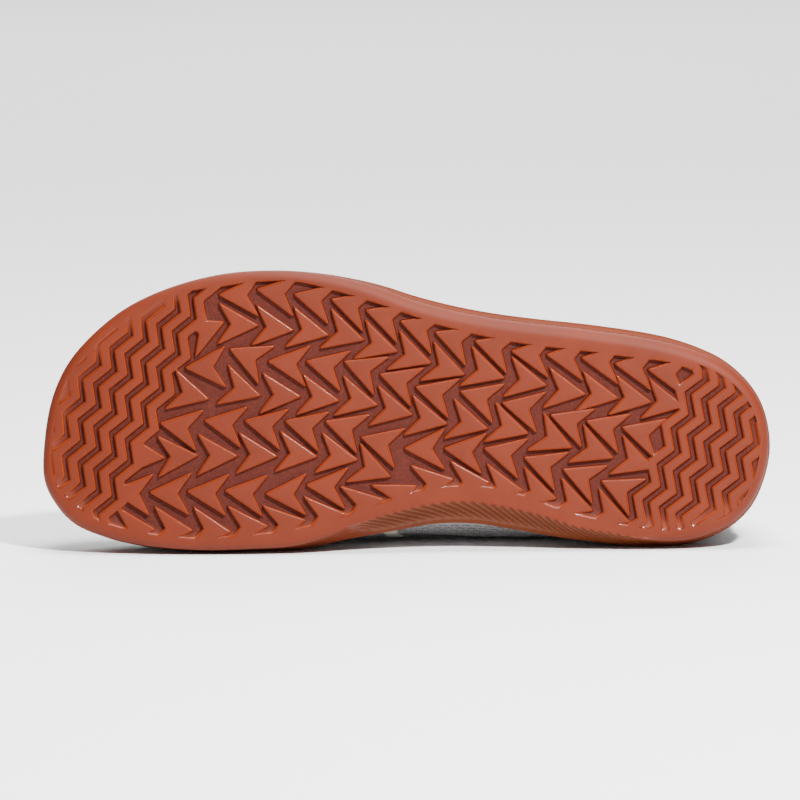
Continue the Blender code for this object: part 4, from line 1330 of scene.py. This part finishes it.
class SHOE_OT_upper(bpy.types.Operator):
    """Build the knitted upper"""
    bl_idname = "shoe.upper"
    bl_label = "Knitted upper"

    def execute(self, context):
        grid = creased(upper_grid())
        count, levels = grid.shape[:2]
        outer = grid.reshape(-1, 3)
        inner = (grid - grid_normals(grid) * sizes().upper_wall).reshape(-1, 3)
        size = len(outer)
        faces = []
        for i in range(count):
            j = (i + 1) % count
            for k in range(levels - 1):
                a, b, c, d = i * levels + k, i * levels + k + 1, j * levels + k + 1, j * levels + k
                faces.append((a, b, c, d))
                faces.append((size + d, size + c, size + b, size + a))
            a, d = i * levels, j * levels
            faces.append((a, d, size + d, size + a))
            a, d = i * levels + levels - 1, j * levels + levels - 1
            faces.append((a, size + a, size + d, d))
        piece = finished("knitted_upper", np.concatenate([outer, inner]), faces, "pale_knit", "upper",
                         knit_material(), cloth_material("lining", colours().lining))
        lining = [int(min(face) >= size) for face in faces]
        piece.data.polygons.foreach_set("material_index", lining)
        return {"FINISHED"}


class SHOE_OT_strip(bpy.types.Operator):
    """Build the saddle strip"""
    bl_idname = "shoe.strip"
    bl_label = "Saddle strip"

    def execute(self, context):
        grid = creased(upper_grid())
        normals = grid_normals(grid)
        shares = [i / (len(STRIP_WAY) - 1) for i in range(len(STRIP_WAY))]
        ways = [[smooth_value(shares, [row[k] for row in STRIP_WAY], i / STRIP_PIECES) for k in (0, 1)]
                for i in range(STRIP_PIECES + 1)]
        count, levels = grid.shape[:2]
        quads = [(i * levels + k, (i + 1) % count * levels + k, (i + 1) % count * levels + k + 1,
                  i * levels + k + 1) for i in range(count) for k in range(levels - 1)]
        cloth = BVHTree.FromPolygons(grid.reshape(-1, 3).tolist(), quads)
        middles = np.array([grid_point(grid, *way) for way in ways])
        for _ in range(STRIP_SMOOTHING):
            middles[1:-1] = 0.5 * middles[1:-1] + 0.25 * (middles[:-2] + middles[2:])
        middles[1:-1] = [cloth.find_nearest(Vector(middle))[0] for middle in middles[1:-1]]
        thick = sizes().strip_thickness + STRIP_SINK
        verts = []
        for way, middle, run in zip(ways, middles, np.gradient(middles, axis=0)):
            out = grid_point(normals, *way)
            out /= np.linalg.norm(out)
            across = np.cross(run, out)
            across *= sizes().strip_width / 2 / np.linalg.norm(across)
            verts += [middle + across * side + out * (STRIP_LIFT + thick * height)
                      for side, height in STRIP_PROFILE]
        n = len(STRIP_PROFILE)
        faces = [tuple(range(n)), tuple(STRIP_PIECES * n + k for k in reversed(range(n)))]
        # The strip's colour is darkened as painted shade.
        finished("pale_saddle_strip", verts, faces + bands(STRIP_PIECES + 1, n), "cream_strip",
                 "saddle_strip", cloth_material("cream_strip", colours().strip, 0.7, 0.05))
        return {"FINISHED"}


class SHOE_OT_binding(bpy.types.Operator):
    """Build the rolled edge of the collar"""
    bl_idname = "shoe.binding"
    bl_label = "Collar binding"

    def execute(self, context):
        grid = upper_grid()
        normals = grid_normals(grid)
        radius = sizes().binding_diameter / 2
        centres, ups, outs = [], [], []
        for i in range(0, grid.shape[0], 2):
            ups.append(Vector(grid[i, -1] - grid[i, -2]).normalized())
            outs.append(Vector(normals[i, -1]))
            centres.append(Vector(grid[i, -1]) + ups[-1] * (radius + sizes().gap)
                           - outs[-1] * sizes().upper_wall / 2)
        rows = list(zip(*(closed_curve(values, BINDING_STEPS) for values in (centres, ups, outs))))
        run = running_length([row[0] for row in rows])
        ribs = round(run[-1] / sizes().binding_rib)
        verts = []
        for i, (centre, up, out) in enumerate(rows):
            ripple = 1.0 + BINDING_RIPPLE * math.cos(2 * math.pi * ribs * run[i] / run[-1])
            for k in range(BINDING_SIDES):
                angle = 2 * math.pi * k / BINDING_SIDES
                verts.append(centre + radius * ripple * (math.cos(angle) * out.normalized()
                                                         + math.sin(angle) * up.normalized()))
        finished("rolled_collar_binding", verts, bands(len(rows), BINDING_SIDES, True), "binding_knit",
                 "collar_binding", cloth_material("binding_knit", colours().binding, 1.2))
        return {"FINISHED"}


class SHOE_OT_sewing(bpy.types.Operator):
    """Sew the stitches below the collar"""
    bl_idname = "shoe.sewing"
    bl_label = "Collar stitches"

    def execute(self, context):
        grid = upper_grid()
        normals = grid_normals(grid)
        places = [i / grid.shape[0] for i in range(grid.shape[0])]
        path = [grid_point(grid, place, SEWN_UP) + 0.2 * sizes().thread * grid_point(normals, place, SEWN_UP)
                for place in places]
        # The thread takes the strip colour, darkened as painted shade.
        thread = cloth_material("sewing_thread", colours().strip, 1.5, 0.0)
        stitches("collar_stitches", path, True, sizes().sewn_pitch, SEWN_SHARE * sizes().sewn_pitch,
                 sizes().thread, thread)
        return {"FINISHED"}


class SHOE_OT_insole(bpy.types.Operator):
    """Build the footbed"""
    bl_idname = "shoe.insole"
    bl_label = "Footbed"

    def execute(self, context):
        loop = evenly(rim_outline(), INSOLE_STEPS)
        normals = inward_normals(loop)
        low = sizes().cup_floor + sizes().gap
        thick = sizes().insole_thickness
        profile = ((0.001, 0.0), (0.0, 0.0006), (0.0, thick - 0.0008), (0.0003, thick - 0.0003),
                   (0.001, thick), (0.006, thick - 0.0002))
        verts = []
        for inset, height in profile:
            for point, normal in zip(loop, normals):
                place = point + normal * (cup_inset(point, low) + sizes().upper_wall
                                          + 3 * sizes().gap + inset)
                verts.append((*place, low + height))
        verts = np.array(verts)
        verts[:, 2] += spring(verts[:, 0])
        count = len(loop)
        faces = [tuple(range(count)), tuple(len(verts) - count + k for k in reversed(range(count)))]
        finished("foam_footbed", verts, faces + bands(len(profile), count), "foam", "insole",
                 cloth_material("footbed_cloth", colours().foam, 1.3))
        return {"FINISHED"}


# Studio

class SHOE_OT_studio(bpy.types.Operator):
    """Build the floor, the lights and the camera"""
    bl_idname = "shoe.studio"
    bl_label = "Studio"

    def execute(self, context):
        settings = context.scene.studio_settings
        mesh = bpy.data.meshes.new("studio_floor")
        corners = ((-1, -1), (1, -1), (1, 1), (-1, 1))
        mesh.from_pydata([(x * FLOOR_HALF, y * FLOOR_HALF, 0.0) for x, y in corners], [], [(0, 1, 2, 3)])
        floor = bpy.data.objects.new("studio_floor", mesh)
        context.collection.objects.link(floor)
        white = Shading("studio_floor").finish(Base_Color=tuple(colours().floor), Roughness=0.8)
        mesh.materials.append(white)
        for name, place, aimed, size, power in LAMPS:
            lamp = bpy.data.lights.new(name, "AREA")
            lamp.shape = "SQUARE"
            lamp.size = size
            lamp.energy = power
            light = bpy.data.objects.new(name, lamp)
            context.collection.objects.link(light)
            light.location = place
            light.rotation_euler = (Vector(aimed) - Vector(place)).to_track_quat("-Z", "Y").to_euler()
        world = bpy.data.worlds.new("studio")
        world.use_nodes = True
        background = world.node_tree.nodes["Background"]
        background.inputs["Color"].default_value = (1.0, 1.0, 1.0, 1.0)
        background.inputs["Strength"].default_value = WORLD_STRENGTH
        context.scene.world = world
        camera = bpy.data.objects.new("photo_camera", bpy.data.cameras.new("photo_camera"))
        camera.data.lens = settings.lens
        camera.data.clip_start = 0.01
        context.collection.objects.link(camera)
        rise = math.radians(settings.elevation)
        away = Vector((0.0, -math.cos(rise), math.sin(rise))) * settings.distance
        camera.location = Vector(CAMERA_AIM) + away
        turn = (-away).to_track_quat("-Z", "Y").to_matrix()
        camera.rotation_euler = (turn @ Matrix.Rotation(math.radians(settings.roll), 3, "Z")).to_euler()
        context.scene.camera = camera
        return {"FINISHED"}


class SHOE_PT_panel(bpy.types.Panel):
    """Steps that build the shoe"""
    bl_idname = "SHOE_PT_panel"
    bl_label = "Barefoot Shoe"
    bl_space_type = "VIEW_3D"
    bl_region_type = "UI"
    bl_category = "Shoe"

    def draw(self, context):
        for step in STEPS:
            self.layout.operator(step.bl_idname)


STEPS = (SHOE_OT_sole, SHOE_OT_rim_stitches, SHOE_OT_insole, SHOE_OT_upper, SHOE_OT_strip,
         SHOE_OT_binding, SHOE_OT_sewing, SHOE_OT_studio)
GROUPS = (ShoeSizes, ShoeColours, StudioSettings)


def register():
    for group in GROUPS + STEPS + (SHOE_PT_panel,):
        bpy.utils.register_class(group)
    bpy.types.Scene.shoe_sizes = PointerProperty(type=ShoeSizes)
    bpy.types.Scene.shoe_colours = PointerProperty(type=ShoeColours)
    bpy.types.Scene.studio_settings = PointerProperty(type=StudioSettings)


def unregister():
    del bpy.types.Scene.studio_settings
    del bpy.types.Scene.shoe_colours
    del bpy.types.Scene.shoe_sizes
    for group in reversed(GROUPS + STEPS + (SHOE_PT_panel,)):
        bpy.utils.unregister_class(group)


def main():
    register()
    for step in STEPS:
        area, name = step.bl_idname.split(".")
        getattr(getattr(bpy.ops, area), name)()


if __name__ == "__main__":
    main()
